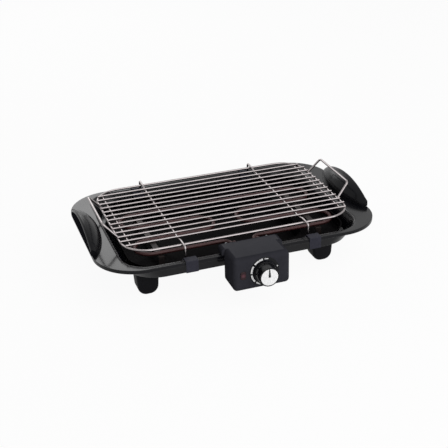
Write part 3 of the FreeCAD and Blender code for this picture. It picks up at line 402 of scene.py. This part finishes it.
# Rack clips
# Four grey nylon hooks pushed over the rims, each with a socket for a leg of the rack. They keep the
# shapes of their solids. Nylon is a dull satin with faint flow marks.
nylon, tree, shader, place = new_material("moulded_nylon")
FLOW_SIZE = 5 * MM
flow = add_node(tree, "ShaderNodeTexNoise", {"Vector": place, "Scale": 1 / FLOW_SIZE, "Detail": 3.0})
shades = {"Factor": flow.outputs["Fac"], "A": linear("#292931"), "B": linear("#363640")}
tone = add_node(tree, "ShaderNodeMix", shades, data_type="RGBA")
set_inputs(tree, shader, {
    "Base Color": tone.outputs["Result"],
    "Roughness": 0.4,
    "Specular IOR Level": 0.08,
})
dress(["rack_clips"], nylon)

# Drip pan
# A pan pressed from thin steel sheet and enamelled black. It hangs on the tub's shelf by its own step,
# and its deep middle lies in the well.
PAN_SHEET = 1.2 * MM
PAN_RIM = 1.5 * MM
PAN_FLARE = 4 * MM
PAN_GAP = 1.5 * MM
PAN_EDGE = 0.5 * MM
PAN_EDGE_STEPS = 2
PAN_CORNER = 50 * MM
pan_low, pan_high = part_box("drip_pan")
rim_length = pan_high[X] - pan_low[X]
rim_depth = pan_high[Y] - pan_low[Y]
side_length = rim_length - 2 * PAN_RIM
side_depth = rim_depth - 2 * PAN_RIM
step_length = side_length - 2 * PAN_FLARE
step_depth = side_depth - 2 * PAN_FLARE
well_length = WELL_LENGTH - 2 * PAN_GAP
well_depth = WELL_DEPTH - 2 * PAN_GAP
foot_length = well_length - 2 * WELL_DRAFT
foot_depth = well_depth - 2 * WELL_DRAFT
rim_under = pan_high[Z] - PAN_SHEET
step_top = SHELF_TOP + PAN_SHEET
sheets = 2 * PAN_SHEET
bm = bmesh.new()
dished_shell(bm, [
    (foot_length, foot_depth, WELL_CORNER, pan_low[Z]),
    (well_length, well_depth, WELL_CORNER, SHELF_TOP),
    (step_length, step_depth, PAN_CORNER, SHELF_TOP),
    (side_length, side_depth, PAN_CORNER, rim_under),
    (rim_length, rim_depth, PAN_CORNER + PAN_RIM, rim_under),
    (rim_length, rim_depth, PAN_CORNER + PAN_RIM, pan_high[Z]),
    (side_length - sheets, side_depth - sheets, PAN_CORNER - PAN_SHEET, pan_high[Z]),
    (step_length - sheets, step_depth - sheets, PAN_CORNER - PAN_SHEET, step_top),
    (well_length - sheets, well_depth - sheets, WELL_CORNER - PAN_SHEET, step_top),
    (foot_length - sheets, foot_depth - sheets, WELL_CORNER - PAN_SHEET, pan_low[Z] + PAN_SHEET),
])

# Vitreous enamel on steel, dulled by use: deep black with a soft ripple and the pale specks of the frit.
enamel, tree, shader, place = new_material("black_enamel")
RIPPLE_SIZE = 9 * MM
SPECK_SIZE = 4 * MM
ripple = add_node(tree, "ShaderNodeTexNoise", {"Vector": place, "Scale": 1 / RIPPLE_SIZE, "Detail": 2.0})
speck = add_node(tree, "ShaderNodeTexVoronoi", {"Vector": place, "Scale": 1 / SPECK_SIZE})
spot = add_node(tree, "ShaderNodeMapRange", {
    "Value": speck.outputs["Distance"],
    "From Min": 0.1,
    "From Max": 0.14,
    "To Min": 1.0,
    "To Max": 0.0,
})
shades = {"Factor": spot.outputs["Result"], "A": linear("#070607"), "B": linear("#232226")}
tone = add_node(tree, "ShaderNodeMix", shades, data_type="RGBA")
wave = add_node(tree, "ShaderNodeBump",
                {"Height": ripple.outputs["Fac"], "Strength": 0.15, "Distance": 0.2 * MM})
set_inputs(tree, shader, {
    "Base Color": tone.outputs["Result"],
    "Normal": wave.outputs["Normal"],
    "Roughness": 0.42,
    "Specular IOR Level": 0.01,
})
piece = make_piece(bm, "enamelled_pan", enamel, "drip_pan", ["drip_pan"], PAN_EDGE, PAN_EDGE_STEPS)

# Heating element
# One steel tube, 7 mm thick, bent flat into passes on both sides of its two stems. It is filled with
# resistance wire and powder, and its sheath is browned by heat.
TUBE_PITCH = 55 * MM
PASS_COUNT = 4
STEM_SLOPE = 14 * MM
STEM_BEND = 8 * MM
STEM_TURN = 14 * MM
STEM_STRAIGHT = 3 * MM
TUBE = 7 * MM
STEM_X = 22 * MM
TUBE_MIDDLE = 24 * MM
STEM_RISE = 10.4 * MM
WIRE_SIDES = 20
STEP_DEGREES = 9
FEWEST_STEPS = 2


def draw_on(bm, rim, step):
    """Draws a ring of edges straight on by one step and gives the new ring."""
    if step.length < MERGE:
        return rim
    made = bmesh.ops.extrude_edge_only(bm, edges=rim)["geom"]
    fresh = [g for g in made if isinstance(g, bmesh.types.BMVert)]
    bmesh.ops.translate(bm, vec=step, verts=fresh)
    return [g for g in made if isinstance(g, bmesh.types.BMEdge) and all(v in fresh for v in g.verts)]


def bent_tube(bm, points, bends, diameter, closed=False):
    """Draws a round wire through its corner points and bends it round an arc at each of them."""
    points = [Vector(p) for p in points]
    heading = points[1] - points[0]
    stance = Matrix.Translation(points[0]) @ heading.to_track_quat("Z", "X").to_matrix().to_4x4()
    ring = bmesh.ops.create_circle(bm, cap_ends=not closed, segments=WIRE_SIDES, radius=diameter / 2,
                                   matrix=stance)
    rim = list(dict.fromkeys(e for v in ring["verts"] for e in v.link_edges))
    here = points[0]
    for before, corner, after, bend in zip(points, points[1:], points[2:], bends):
        arrive = (corner - before).normalized()
        leave = (after - corner).normalized()
        turn = arrive.angle(leave)
        reach = bend * math.tan(turn / 2)
        start = corner - arrive * reach
        rim = draw_on(bm, rim, start - here)
        axis = arrive.cross(leave).normalized()
        centre = start + axis.cross(arrive) * bend
        steps = max(FEWEST_STEPS, round(math.degrees(turn) / STEP_DEGREES))
        spun = bmesh.ops.spin(bm, geom=rim, cent=centre, axis=axis, angle=turn, steps=steps)
        rim = [g for g in spun["geom_last"] if isinstance(g, bmesh.types.BMEdge)]
        here = corner + leave * reach
    rim = draw_on(bm, rim, points[-1] - here)
    if not closed:
        bmesh.ops.edgeloop_fill(bm, edges=rim)


tube_low, tube_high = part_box("heating_element")
tube_z = tube_low[Z] + TUBE / 2
stem_z = tube_z + STEM_RISE
tube_end = tube_high[X] - TUBE / 2
tube_rear = tube_high[Y] - TUBE / 2
passes = [tube_rear - TUBE_PITCH * i for i in reversed(range(PASS_COUNT))]
slope_end = passes[0] - STEM_TURN - STEM_STRAIGHT
route = [(-STEM_X, tube_low[Y], stem_z), (-STEM_X, slope_end - STEM_SLOPE, stem_z),
         (-STEM_X, slope_end, tube_z), (-STEM_X, passes[0], tube_z),
         (-tube_end, passes[0], tube_z), (-tube_end, passes[1], tube_z),
         (-TUBE_MIDDLE, passes[1], tube_z), (-TUBE_MIDDLE, passes[2], tube_z),
         (-tube_end, passes[2], tube_z), (-tube_end, passes[3], tube_z)]
stem_bends = [STEM_BEND, STEM_BEND, STEM_TURN]
bends = stem_bends + [TUBE_PITCH / 2] * (len(route) - 1 - len(stem_bends))
bm = bmesh.new()
bent_tube(bm, route + [(-x, y, z) for x, y, z in reversed(route)], bends + bends[::-1], TUBE)

# Heat-browned stainless sheath: a red-brown oxide with darker bands where it ran hottest, and a dull
# metal shine under it.
sheath, tree, shader, place = new_material("browned_sheath")
BAND_SIZE = 30 * MM
SCALE_SIZE = 2 * MM
band = add_node(tree, "ShaderNodeTexNoise", {"Vector": place, "Scale": 1 / BAND_SIZE, "Detail": 4.0})
scale = add_node(tree, "ShaderNodeTexNoise", {"Vector": place, "Scale": 1 / SCALE_SIZE, "Detail": 3.0})
shades = {"Factor": band.outputs["Fac"], "A": linear("#1e090a"), "B": linear("#401818")}
tone = add_node(tree, "ShaderNodeMix", shades, data_type="RGBA")
gloss = add_node(tree, "ShaderNodeMapRange", {"Value": scale.outputs["Fac"], "To Min": 0.35, "To Max": 0.6})
rough = add_node(tree, "ShaderNodeBump",
                 {"Height": scale.outputs["Fac"], "Strength": 0.2, "Distance": 0.1 * MM})
set_inputs(tree, shader, {
    "Base Color": tone.outputs["Result"],
    "Roughness": gloss.outputs["Result"],
    "Normal": rough.outputs["Normal"],
    "Metallic": 0.3,
})
piece = make_piece(bm, "element_tube", sheath, "heater_unit", ["heating_element"])

# Steel strips, bracket, screws and shaft
# Plain steel pieces. The screws, the nut, the pins and the knob's shaft are zinc plated, and the strips
# that carry the passes and the plate behind the saddle are blued by heat. They keep their solids' shapes.

# Zinc plate: a bright grey metal with a faint crystal spangle.
zinc, tree, shader, place = new_material("zinc_plate")
SPANGLE_SIZE = 3 * MM
spangle = add_node(tree, "ShaderNodeTexVoronoi", {"Vector": place, "Scale": 1 / SPANGLE_SIZE})
shades = {"Factor": spangle.outputs["Color"], "A": linear("#8d9094"), "B": linear("#a9abad")}
tone = add_node(tree, "ShaderNodeMix", shades, data_type="RGBA")
gloss = add_node(tree, "ShaderNodeMapRange",
                 {"Value": spangle.outputs["Distance"], "To Min": 0.3, "To Max": 0.45})
set_inputs(tree, shader, {
    "Base Color": tone.outputs["Result"],
    "Roughness": gloss.outputs["Result"],
    "Metallic": 1.0,
})
dress(["bracket_screws", "cover_screws", "foot_screws", "grip_screws", "element_terminals", "thermostat_nut",
       "thermostat_shaft"], zinc)

# Blued steel: a dark grey oxide with brown clouds.
blued, tree, shader, place = new_material("blued_steel")
OXIDE_SIZE = 12 * MM
oxide = add_node(tree, "ShaderNodeTexNoise", {"Vector": place, "Scale": 1 / OXIDE_SIZE, "Detail": 4.0})
shades = {"Factor": oxide.outputs["Fac"], "A": linear("#1c1c20"), "B": linear("#3a302c")}
tone = add_node(tree, "ShaderNodeMix", shades, data_type="RGBA")
set_inputs(tree, shader, {
    "Base Color": tone.outputs["Result"],
    "Roughness": 0.45,
    "Metallic": 0.6,
})
dress(["element_supports", "element_bracket"], blued)

# Control box
# A dull grey-black ABS moulding, closed at the rear by a screwed cover, with a saddle on top that lies
# over the front rim and carries the stems. Its front has a large round above and a smaller one below.
BOX_WALL = 2.5 * MM
BOX_TOP_ROUND = 10 * MM
BOX_BOTTOM_ROUND = 8.5 * MM
BOX_EDGE = 7.5 * MM
BOX_WIDTH = 103 * MM
SADDLE_ROUND = 6 * MM
BOX_HOLLOW = 40 * MM
BOX_RIM_GAP = 0.6 * MM
box_low, box_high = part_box("control_housing")
box_rear = tray_low[Y] - BOX_RIM_GAP
bm = bmesh.new()
corners = [(box_rear, box_low[Z]), (box_low[Y], box_low[Z]), (box_low[Y], box_high[Z]),
           (box_rear, box_high[Z])]
outline = [bm.verts.new((-BOX_WIDTH / 2, y, z)) for y, z in corners]
bm.faces.new(outline)
round_off(bm, [outline[1]], BOX_BOTTOM_ROUND, OUTLINE_STEPS, "VERTICES")
round_off(bm, [outline[2]], BOX_TOP_ROUND, OUTLINE_STEPS, "VERTICES")
draw_out(bm, bm.faces[:], (BOX_WIDTH, 0, 0))
sides = [e for e in bm.edges if not spans(e, X) and not lies_at(e, Y, box_rear)]
round_off(bm, sides, BOX_EDGE, EDGE_STEPS)
rear = max((f for f in bm.faces if lies_at(f, Y, box_rear)), key=lambda f: f.calc_area())
bmesh.ops.inset_region(bm, faces=[rear], thickness=BOX_WALL, use_even_offset=True)
draw_out(bm, [rear], (0, -BOX_HOLLOW, 0), keep=False)
bmesh.ops.delete(bm, geom=[rear], context="FACES_ONLY")
saddle = block(bm, (box_low[X], box_rear, FLANGE_TOP), box_high)
edges = [e for e in bm.edges if e.verts[0] in saddle]
soft = [e for e in edges if lies_at(e, Z, box_high[Z]) and not lies_at(e, Y, box_rear)]
soft += [e for e in edges if spans(e, Z) and lies_at(e, Y, box_high[Y])]
round_off(bm, soft, SADDLE_ROUND, EDGE_STEPS)
second_finish(bm, Z, box_high[Z])

# Satin ABS: an even, dull grey-black with no reflection. The flat top alone has a soft sheen.
satin_abs = etched_abs("satin_abs", dark="#2d2d32", light="#37373d", smooth=0.4, dull=0.52, shine=0.0)
top_abs = etched_abs("top_abs", dark="#2d2d32", light="#37373d", smooth=0.4, dull=0.52, shine=0.045)
piece = make_piece(bm, "control_box", satin_abs, "heater_unit", ["control_housing"])
piece.data.materials.append(top_abs)
dress(["control_back_cover"], satin_abs)

# Dial
# A thin ring of glossy black ABS, stuck on the box round the knob, with a heat scale printed on it in
# white: strokes that widen clockwise from the lowest heat, a short last one at the top, and a dot where
# the grill is off.
knob_low, knob_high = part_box("knob_body")
DIAL_X = (knob_low[X] + knob_high[X]) / 2
DIAL_Z = (knob_low[Z] + knob_high[Z]) / 2
DIAL_INNER = 21.5 * MM
DIAL_EDGE = 0.3 * MM
SCALE_RADIUS = 24 * MM
DOT = 1.2 * MM
DOT_HOUR = 2.5
DOT_SIDES = 24
INK = 0.08 * MM
HOUR = math.radians(30)
STROKE_STEPS = 12
TURN_STEPS = 72

# Each stroke runs from one clock hour to another, with a width in millimetres.
STROKES = [(6.7, 7.35, 2.6), (7.6, 8.75, 3.0), (9.0, 10.1, 3.2), (10.4, 11.75, 3.3), (12.0, 12.55, 1.7)]
dial_low, dial_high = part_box("dial_ring")
dial_axis = Vector((DIAL_X, 0, DIAL_Z))


def on_clock(hour, radius, y):
    """A point on the dial by its clock hour, seen from the front."""
    return dial_axis + Vector((radius * math.sin(HOUR * hour), y, radius * math.cos(HOUR * hour)))


def turned(bm, profile):
    """A closed form turned about the dial's axis from a line of radius and depth pairs."""
    verts = [bm.verts.new(on_clock(0, radius, y)) for radius, y in profile]
    edges = [bm.edges.new(pair) for pair in zip(verts, verts[1:])]
    bmesh.ops.spin(bm, geom=verts + edges, cent=dial_axis, axis=(0, 1, 0), angle=2 * math.pi,
                   steps=TURN_STEPS, use_merge=True)


bm = bmesh.new()
dial_outer = (dial_high[X] - dial_low[X]) / 2
turned(bm, [(DIAL_INNER, dial_high[Y]), (DIAL_INNER, dial_low[Y]), (dial_outer, dial_low[Y]),
            (dial_outer, dial_high[Y]), (DIAL_INNER, dial_high[Y])])
piece = make_piece(bm, "dial_scale_ring", gloss_abs, "heater_unit", ["dial_ring"], DIAL_EDGE)

bm = bmesh.new()
for start, end, width in STROKES:
    radii = [SCALE_RADIUS + side * width / 2 * MM for side in (-1, 1)]
    ends = [bm.verts.new(on_clock(start, radius, dial_low[Y])) for radius in radii]
    line = bm.edges.new(ends)
    bmesh.ops.spin(bm, geom=ends + [line], cent=dial_axis, axis=(0, 1, 0), angle=HOUR * (end - start),
                   steps=STROKE_STEPS)
upright = Matrix.Rotation(math.pi / 2, 4, "X")
dot_place = Matrix.Translation(on_clock(DOT_HOUR, SCALE_RADIUS, dial_low[Y])) @ upright
bmesh.ops.create_circle(bm, cap_ends=True, segments=DOT_SIDES, radius=DOT, matrix=dot_place)
draw_out(bm, bm.faces[:], (0, -INK, 0))

# White pad-printing ink: matt, a little thin in places.
ink, tree, shader, place = new_material("white_ink")
THIN_SIZE = 1.5 * MM
thin = add_node(tree, "ShaderNodeTexNoise", {"Vector": place, "Scale": 1 / THIN_SIZE, "Detail": 3.0})
shades = {"Factor": thin.outputs["Fac"], "A": linear("#d4d4d4"), "B": linear("#f6f6f6")}
tone = add_node(tree, "ShaderNodeMix", shades, data_type="RGBA")
set_inputs(tree, shader, {
    "Base Color": tone.outputs["Result"],
    "Roughness": 0.5,
})
piece = make_piece(bm, "dial_print", ink, "heater_unit", [])

# Indicator lens
# A clear red polycarbonate window, pressed into the front of the box, with upright prisms moulded inside
# that spread the light of the small lamp behind it.
LENS_EDGE = 0.6 * MM
LENS_ROUND = 3 * MM
LENS_STEPS = 6
lens_low, lens_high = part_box("indicator_lens")
lens_middle = [(a + b) / 2 for a, b in zip(lens_low, lens_high)]
bm = bmesh.new()
block(bm, lens_low, lens_high)
round_off(bm, [e for e in bm.edges if spans(e, Y)], LENS_ROUND, LENS_STEPS)

# Tinted polycarbonate: red glass-like plastic, with a painted glow that makes it lighter in the middle,
# and grooves that catch light. They are drawn at 2.5 mm, coarser than real ones, so that they show.
red_lens, tree, shader, place = new_material("red_polycarbonate")
PRISM_SIZE = 2.5 * MM
PAINTED_GLOW_INNER = 1 * MM
PAINTED_GLOW_OUTER = 5 * MM
# At a scale of 1, the bands of Blender's wave texture repeat every 0.314 m.
WAVE_LENGTH = 0.314
from_middle = add_node(tree, "ShaderNodeMapping", {"Vector": place, "Location": [-c for c in lens_middle]})
away = add_node(tree, "ShaderNodeVectorMath", {0: from_middle.outputs["Vector"]}, operation="LENGTH")
# Painted glow: the red is painted lighter towards the middle of the lens, as if lit from within.
painted_glow = add_node(tree, "ShaderNodeMapRange", {
    "Value": away.outputs["Value"],
    "From Min": PAINTED_GLOW_INNER,
    "From Max": PAINTED_GLOW_OUTER,
    "To Min": 1.0,
    "To Max": 0.0,
})
prism = add_node(tree, "ShaderNodeTexWave", {"Vector": place, "Scale": WAVE_LENGTH / PRISM_SIZE},
                 bands_direction="X")
shades = {"Factor": painted_glow.outputs["Result"], "A": linear("#270b12"), "B": linear("#613641")}
tone = add_node(tree, "ShaderNodeMix", shades, data_type="RGBA")
groove = add_node(tree, "ShaderNodeBump",
                  {"Height": prism.outputs["Fac"], "Strength": 0.3, "Distance": 0.2 * MM})
set_inputs(tree, shader, {
    "Base Color": tone.outputs["Result"],
    "Normal": groove.outputs["Normal"],
    "Roughness": 0.15,
    "Specular IOR Level": 0.3,
})
piece = make_piece(bm, "red_window", red_lens, "heater_unit", ["indicator_lens"], LENS_EDGE)

# Electrical pieces in the box
# The switch body, the cut-out, the terminal block and the leads are cream ceramic and insulation, and
# the lamp is a clear glass bulb. All of them are hidden, and keep the shapes of their solids.

# Steatite: fired cream ceramic, matt and a little cloudy.
ceramic, tree, shader, place = new_material("steatite")
FIRE_SIZE = 8 * MM
fire = add_node(tree, "ShaderNodeTexNoise", {"Vector": place, "Scale": 1 / FIRE_SIZE, "Detail": 4.0})
shades = {"Factor": fire.outputs["Fac"], "A": linear("#d8d0c0"), "B": linear("#efe9dc")}
tone = add_node(tree, "ShaderNodeMix", shades, data_type="RGBA")
set_inputs(tree, shader, {
    "Base Color": tone.outputs["Result"],
    "Roughness": 0.5,
})
dress(["thermostat", "thermal_cutout", "terminal_block", "internal_leads"], ceramic)

# Bulb glass: clear, with a faint warm haze.
bulb_glass, tree, shader, place = new_material("bulb_glass")
haze = add_node(tree, "ShaderNodeTexNoise", {"Vector": place, "Scale": 1 / FIRE_SIZE, "Detail": 2.0})
shades = {"Factor": haze.outputs["Fac"], "A": linear("#f0e0d4"), "B": linear("#ffffff")}
tone = add_node(tree, "ShaderNodeMix", shades, data_type="RGBA")
set_inputs(tree, shader, {
    "Base Color": tone.outputs["Result"],
    "Roughness": 0.08,
    "Transmission Weight": 0.8,
})
dress(["indicator_lamp"], bulb_glass)

# Knob
# A glossy black ABS moulding with a thin skirt, pushed on the switch's shaft, with a pale satin disc let
# into its face inside a black rim, and a dark wedge on the disc that points at the scale.
KNOB_SKIRT_HIGH = 4 * MM
KNOB_GRIP = 18.5 * MM
KNOB_FACE = 17.5 * MM
KNOB_HOLLOW = 10 * MM
KNOB_HOLLOW_DEEP = 4 * MM
KNOB_EDGE = 0.3 * MM
CAP_RIM = 0.9 * MM
CAP_GAP = 0.1 * MM
CAP_EDGE = 0.35 * MM
skirt = (knob_high[X] - knob_low[X]) / 2
back = knob_high[Y]
face = knob_low[Y]
hollow_end = back - KNOB_HOLLOW_DEEP
skirt_front = back - KNOB_SKIRT_HIGH
cap_low, cap_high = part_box("knob_cap")
cap_radius = (cap_high[X] - cap_low[X]) / 2 - CAP_RIM
seat = cap_radius + CAP_GAP
bm = bmesh.new()
turned(bm, [(0, hollow_end), (KNOB_HOLLOW, hollow_end), (KNOB_HOLLOW, back), (skirt, back),
            (skirt, skirt_front), (KNOB_GRIP, skirt_front), (KNOB_FACE, face), (seat, face),
            (seat, cap_high[Y]), (0, cap_high[Y])])
piece = make_piece(bm, "knob_moulding", gloss_abs, "knob", ["knob_body"], KNOB_EDGE)

bm = bmesh.new()
turned(bm, [(0, cap_high[Y]), (cap_radius, cap_high[Y]), (cap_radius, cap_low[Y]), (0, cap_low[Y])])

# Satin silver lacquer over a spun disc: nearly white, with fine rings that catch the light. They are drawn
# at 1.6 mm, coarser than real ones, so that they show.
silver, tree, shader, place = new_material("spun_silver")
RING_SIZE = 1.6 * MM
from_axis = add_node(tree, "ShaderNodeMapping", {"Vector": place, "Location": (-DIAL_X, -face, -DIAL_Z)})
flat = add_node(tree, "ShaderNodeVectorMath", {0: from_axis.outputs["Vector"], 1: (1, 0, 1)},
                operation="MULTIPLY")
rings = add_node(tree, "ShaderNodeTexWave",
                 {"Vector": flat.outputs["Vector"], "Scale": WAVE_LENGTH / RING_SIZE},
                 wave_type="RINGS", rings_direction="SPHERICAL")
shades = {"Factor": rings.outputs["Fac"], "A": linear("#f0f0f1"), "B": linear("#fafafa")}
tone = add_node(tree, "ShaderNodeMix", shades, data_type="RGBA")
spun = add_node(tree, "ShaderNodeBump",
                {"Height": rings.outputs["Fac"], "Strength": 0.08, "Distance": 0.05 * MM})
set_inputs(tree, shader, {
    "Base Color": tone.outputs["Result"],
    "Normal": spun.outputs["Normal"],
    "Roughness": 0.3,
})
piece = make_piece(bm, "knob_disc", silver, "knob", ["knob_cap"], CAP_EDGE)
dress(["knob_pointer"], matt_abs)

# Rack
# Bent and welded from chromed steel wire: thirteen straight bars on a frame of thicker wire, two cross
# wires that climb over the frame and bend down into the clips, two short end wires, and a raised handle
# at each end.
frame_low, frame_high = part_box("rack_frame")
bars_low, bars_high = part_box("rack_bars")
FRAME_WIRE = frame_high[Z] - frame_low[Z]
FRAME_CORNER = 50 * MM
LEG_WIRE = 3.8 * MM
LEG_BEND = 5 * MM
LEG_RISE = 14 * MM
BAR_WIRE = bars_high[Z] - bars_low[Z]
BAR_COUNT = 13
BAR_SPACING = (bars_high[Y] - bars_low[Y] - BAR_WIRE) / (BAR_COUNT - 1)
HANDLE_BEND = 7 * MM
HANDLE_FOOT = 3.7 * BAR_SPACING
HANDLE_LEAN = 6 * MM
WELD = 0.4 * MM

# Chromed steel wire gone a little grey with heat: a clear mirror, broken by a thin tan of grease and faint
# draw marks. These are drawn at 1.5 mm, coarser than real ones, so that they show.
chrome, tree, shader, place = new_material("chromed_wire")
TAN_SIZE = 25 * MM
DRAW_SIZE = 1.5 * MM
tan = add_node(tree, "ShaderNodeTexNoise", {"Vector": place, "Scale": 1 / TAN_SIZE, "Detail": 3.0})
draw = add_node(tree, "ShaderNodeTexNoise", {"Vector": place, "Scale": 1 / DRAW_SIZE, "Detail": 2.0})
shades = {"Factor": tan.outputs["Fac"], "A": linear("#7f7979"), "B": linear("#9f9999")}
tone = add_node(tree, "ShaderNodeMix", shades, data_type="RGBA")
gloss = add_node(tree, "ShaderNodeMapRange", {"Value": draw.outputs["Fac"], "To Min": 0.1, "To Max": 0.22})
set_inputs(tree, shader, {
    "Base Color": tone.outputs["Result"],
    "Roughness": gloss.outputs["Result"],
    "Metallic": 1.0,
})


def rack_wire(bm, name, nodes):
    """Finishes a wire of the rack in chrome."""
    piece = make_piece(bm, name, chrome, "rack", nodes)


frame_x = frame_high[X] - FRAME_WIRE / 2
frame_front = frame_low[Y] + FRAME_WIRE / 2
frame_rear = frame_high[Y] - FRAME_WIRE / 2
frame_z = frame_high[Z] - FRAME_WIRE / 2
bm = bmesh.new()
corners = [(frame_x, frame_front, frame_z), (frame_x, frame_rear, frame_z), (-frame_x, frame_rear, frame_z),
           (-frame_x, frame_front, frame_z)]
middle = (0, frame_front, frame_z)
bent_tube(bm, [middle] + corners + [middle], [FRAME_CORNER] * len(corners), FRAME_WIRE, closed=True)
rack_wire(bm, "frame_wire", ["rack_frame"])

bar_z = (bars_low[Z] + bars_high[Z]) / 2
bar_places = [TUB_Y + BAR_SPACING * (i - (BAR_COUNT - 1) / 2) for i in range(BAR_COUNT)]
straight = frame_rear - TUB_Y - FRAME_CORNER
overhang = bars_high[X] - frame_x
bm = bmesh.new()
for y in bar_places:
    past = max(0.0, abs(y - TUB_Y) - straight)
    end = frame_x - FRAME_CORNER + math.sqrt(FRAME_CORNER ** 2 - past ** 2) + overhang
    bent_tube(bm, [(-end, y, bar_z), (end, y, bar_z)], [], BAR_WIRE)
rack_wire(bm, "grill_bars", ["rack_bars"])

ends_low, ends_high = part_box("rack_end_wires")
end_z = (ends_low[Z] + ends_high[Z]) / 2
bm = bmesh.new()
for x in (ends_low[X] + BAR_WIRE / 2, ends_high[X] - BAR_WIRE / 2):
    bent_tube(bm, [(x, ends_low[Y], end_z), (x, ends_high[Y], end_z)], [], BAR_WIRE)
rack_wire(bm, "end_wires", ["rack_end_wires"])

legs_low, legs_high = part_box("rack_leg_wires")
leg_x = legs_high[X] - LEG_WIRE / 2
leg_reach = legs_high[Y] - LEG_WIRE / 2 - TUB_Y
leg_high = legs_high[Z] - LEG_WIRE / 2
leg_low = bar_z - BAR_WIRE / 2 - LEG_WIRE / 2 + WELD
climb = TUB_Y - bar_places[0] + LEG_WIRE
half_route = [(-leg_reach, legs_low[Z]), (-leg_reach, leg_high), (-climb - LEG_RISE, leg_high),
              (-climb, leg_low)]
whole = half_route + [(-y, z) for y, z in reversed(half_route)]
leg_bends = [LEG_BEND] * (len(whole) - 2)
bm = bmesh.new()
for x in (-leg_x, leg_x):
    bent_tube(bm, [(x, TUB_Y + y, z) for y, z in whole], leg_bends, LEG_WIRE)
rack_wire(bm, "leg_wires", ["rack_leg_wires"])

for side, node in ((-1, "left_rack_handle"), (1, "right_rack_handle")):
    low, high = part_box(node)
    outer = (high[X] if side > 0 else low[X]) - side * FRAME_WIRE / 2
    top = high[Z] - FRAME_WIRE / 2
    foot_z = frame_z + FRAME_WIRE / 2 - WELD
    half = HANDLE_FOOT - HANDLE_LEAN
    route = [(side * frame_x, TUB_Y - HANDLE_FOOT, foot_z), (outer, TUB_Y - half, top),
             (outer, TUB_Y + half, top), (side * frame_x, TUB_Y + HANDLE_FOOT, foot_z)]
    bm = bmesh.new()
    bent_tube(bm, route, [HANDLE_BEND] * (len(route) - 2), FRAME_WIRE)
    rack_wire(bm, node.replace("rack_handle", "handle_wire"), [node])

# Studio
# A white floor that keeps a soft shadow, white surroundings, a broad soft light in front on the right,
# and a smaller one behind.
FLOOR_SIZE = 24.0
FLOOR_SEEN = 0.94
FLOOR_MIRRORED = 0.4
SKY_LIGHT = 0.2
SKY_SEEN = 1.0
bm = bmesh.new()
bmesh.ops.create_grid(bm, x_segments=1, y_segments=1, size=FLOOR_SIZE / 2)
mesh = bpy.data.meshes.new("studio_floor")
bm.to_mesh(mesh)
bm.free()
floor = bpy.data.objects.new("studio_floor", mesh)
bpy.context.collection.objects.link(floor)

# White paper: almost pure white to the camera, and in mirrors a white that keeps the object's shadow.
paper, tree, shader, place = new_material("white_paper")
set_inputs(tree, shader, {"Base Color": linear("#f4f4f4"), "Roughness": 0.9})
rays = add_node(tree, "ShaderNodeLightPath", {}).outputs
seen = add_node(tree, "ShaderNodeMath", {0: rays["Is Camera Ray"], 1: FLOOR_SEEN}, operation="MULTIPLY")
mirrored = add_node(tree, "ShaderNodeMath", {0: rays["Is Glossy Ray"], 1: rays["Is Transmission Ray"]},
                    operation="MAXIMUM")
dimmed = add_node(tree, "ShaderNodeMath", {0: mirrored.outputs[0], 1: FLOOR_MIRRORED}, operation="MULTIPLY")
share = add_node(tree, "ShaderNodeMath", {0: seen.outputs[0], 1: dimmed.outputs[0]}, operation="MAXIMUM")
white = add_node(tree, "ShaderNodeEmission", {"Color": (1, 1, 1, 1), "Strength": 1.0})
mixed = add_node(tree, "ShaderNodeMixShader",
                 {0: share.outputs[0], 1: shader.outputs["BSDF"], 2: white.outputs["Emission"]})
tree.links.new(mixed.outputs["Shader"], tree.nodes["Material Output"].inputs["Surface"])
mesh.materials.append(paper)

scene = bpy.context.scene
scene.view_settings.view_transform = "Standard"
world = bpy.data.worlds.new("white_studio")
scene.world = world
world.use_nodes = True
tree = world.node_tree
rays = add_node(tree, "ShaderNodeLightPath", {}).outputs
mirrored = add_node(tree, "ShaderNodeMath", {0: rays["Is Glossy Ray"], 1: rays["Is Transmission Ray"]},
                    operation="MAXIMUM")
seen = add_node(tree, "ShaderNodeMath", {0: rays["Is Camera Ray"], 1: mirrored.outputs[0]},
                operation="MAXIMUM")
sky = add_node(tree, "ShaderNodeMapRange",
               {"Value": seen.outputs[0], "To Min": SKY_LIGHT, "To Max": SKY_SEEN})
set_inputs(tree, tree.nodes["Background"], {"Color": (1, 1, 1, 1), "Strength": sky.outputs["Result"]})


def soft_light(name, place, target, size, power):
    """A square softbox that looks at a point."""
    lamp = bpy.data.lights.new(name, "AREA")
    lamp.size = size
    lamp.energy = power
    holder = bpy.data.objects.new(name, lamp)
    holder.location = place
    holder.rotation_euler = (Vector(target) - Vector(place)).to_track_quat("-Z", "Y").to_euler()
    bpy.context.collection.objects.link(holder)


soft_light("front_softbox", place=(0.9, -2.3, 2.15), target=(0, 0, 0.1), size=4.0, power=102)
soft_light("rear_softbox", place=(-0.1, 2.3, 1.3), target=(-0.2, 0.0, 0.1), size=1.2, power=10)

# Camera
# Placed from the photograph: about 1.8 m away, left of the knob, looking down, turned a little. It has a
# long lens, with no shift and no depth of field.
EYE = Vector((-0.5053, -1.4795, 0.8536))
AZIMUTH = math.radians(-18.72)
ELEVATION = math.radians(26.27)
ROLL = math.radians(-1.67)
SENSOR_WIDTH = 36.0
FOCAL_LENGTH = 74.85
level = Vector((math.sin(AZIMUTH), -math.cos(AZIMUTH), 0))
back = level * math.cos(ELEVATION) + Vector((0, 0, math.sin(ELEVATION)))
right = Vector((math.cos(AZIMUTH), math.sin(AZIMUTH), 0))
up = back.cross(right)
across = right * math.cos(ROLL) + up * math.sin(ROLL)
upward = up * math.cos(ROLL) - right * math.sin(ROLL)
camera = bpy.data.objects.new("camera", bpy.data.cameras.new("camera"))
camera.data.sensor_width = SENSOR_WIDTH
camera.data.lens = FOCAL_LENGTH
camera.matrix_world = Matrix.Translation(EYE) @ Matrix((across, upward, back)).transposed().to_4x4()
bpy.context.collection.objects.link(camera)
scene.camera = camera
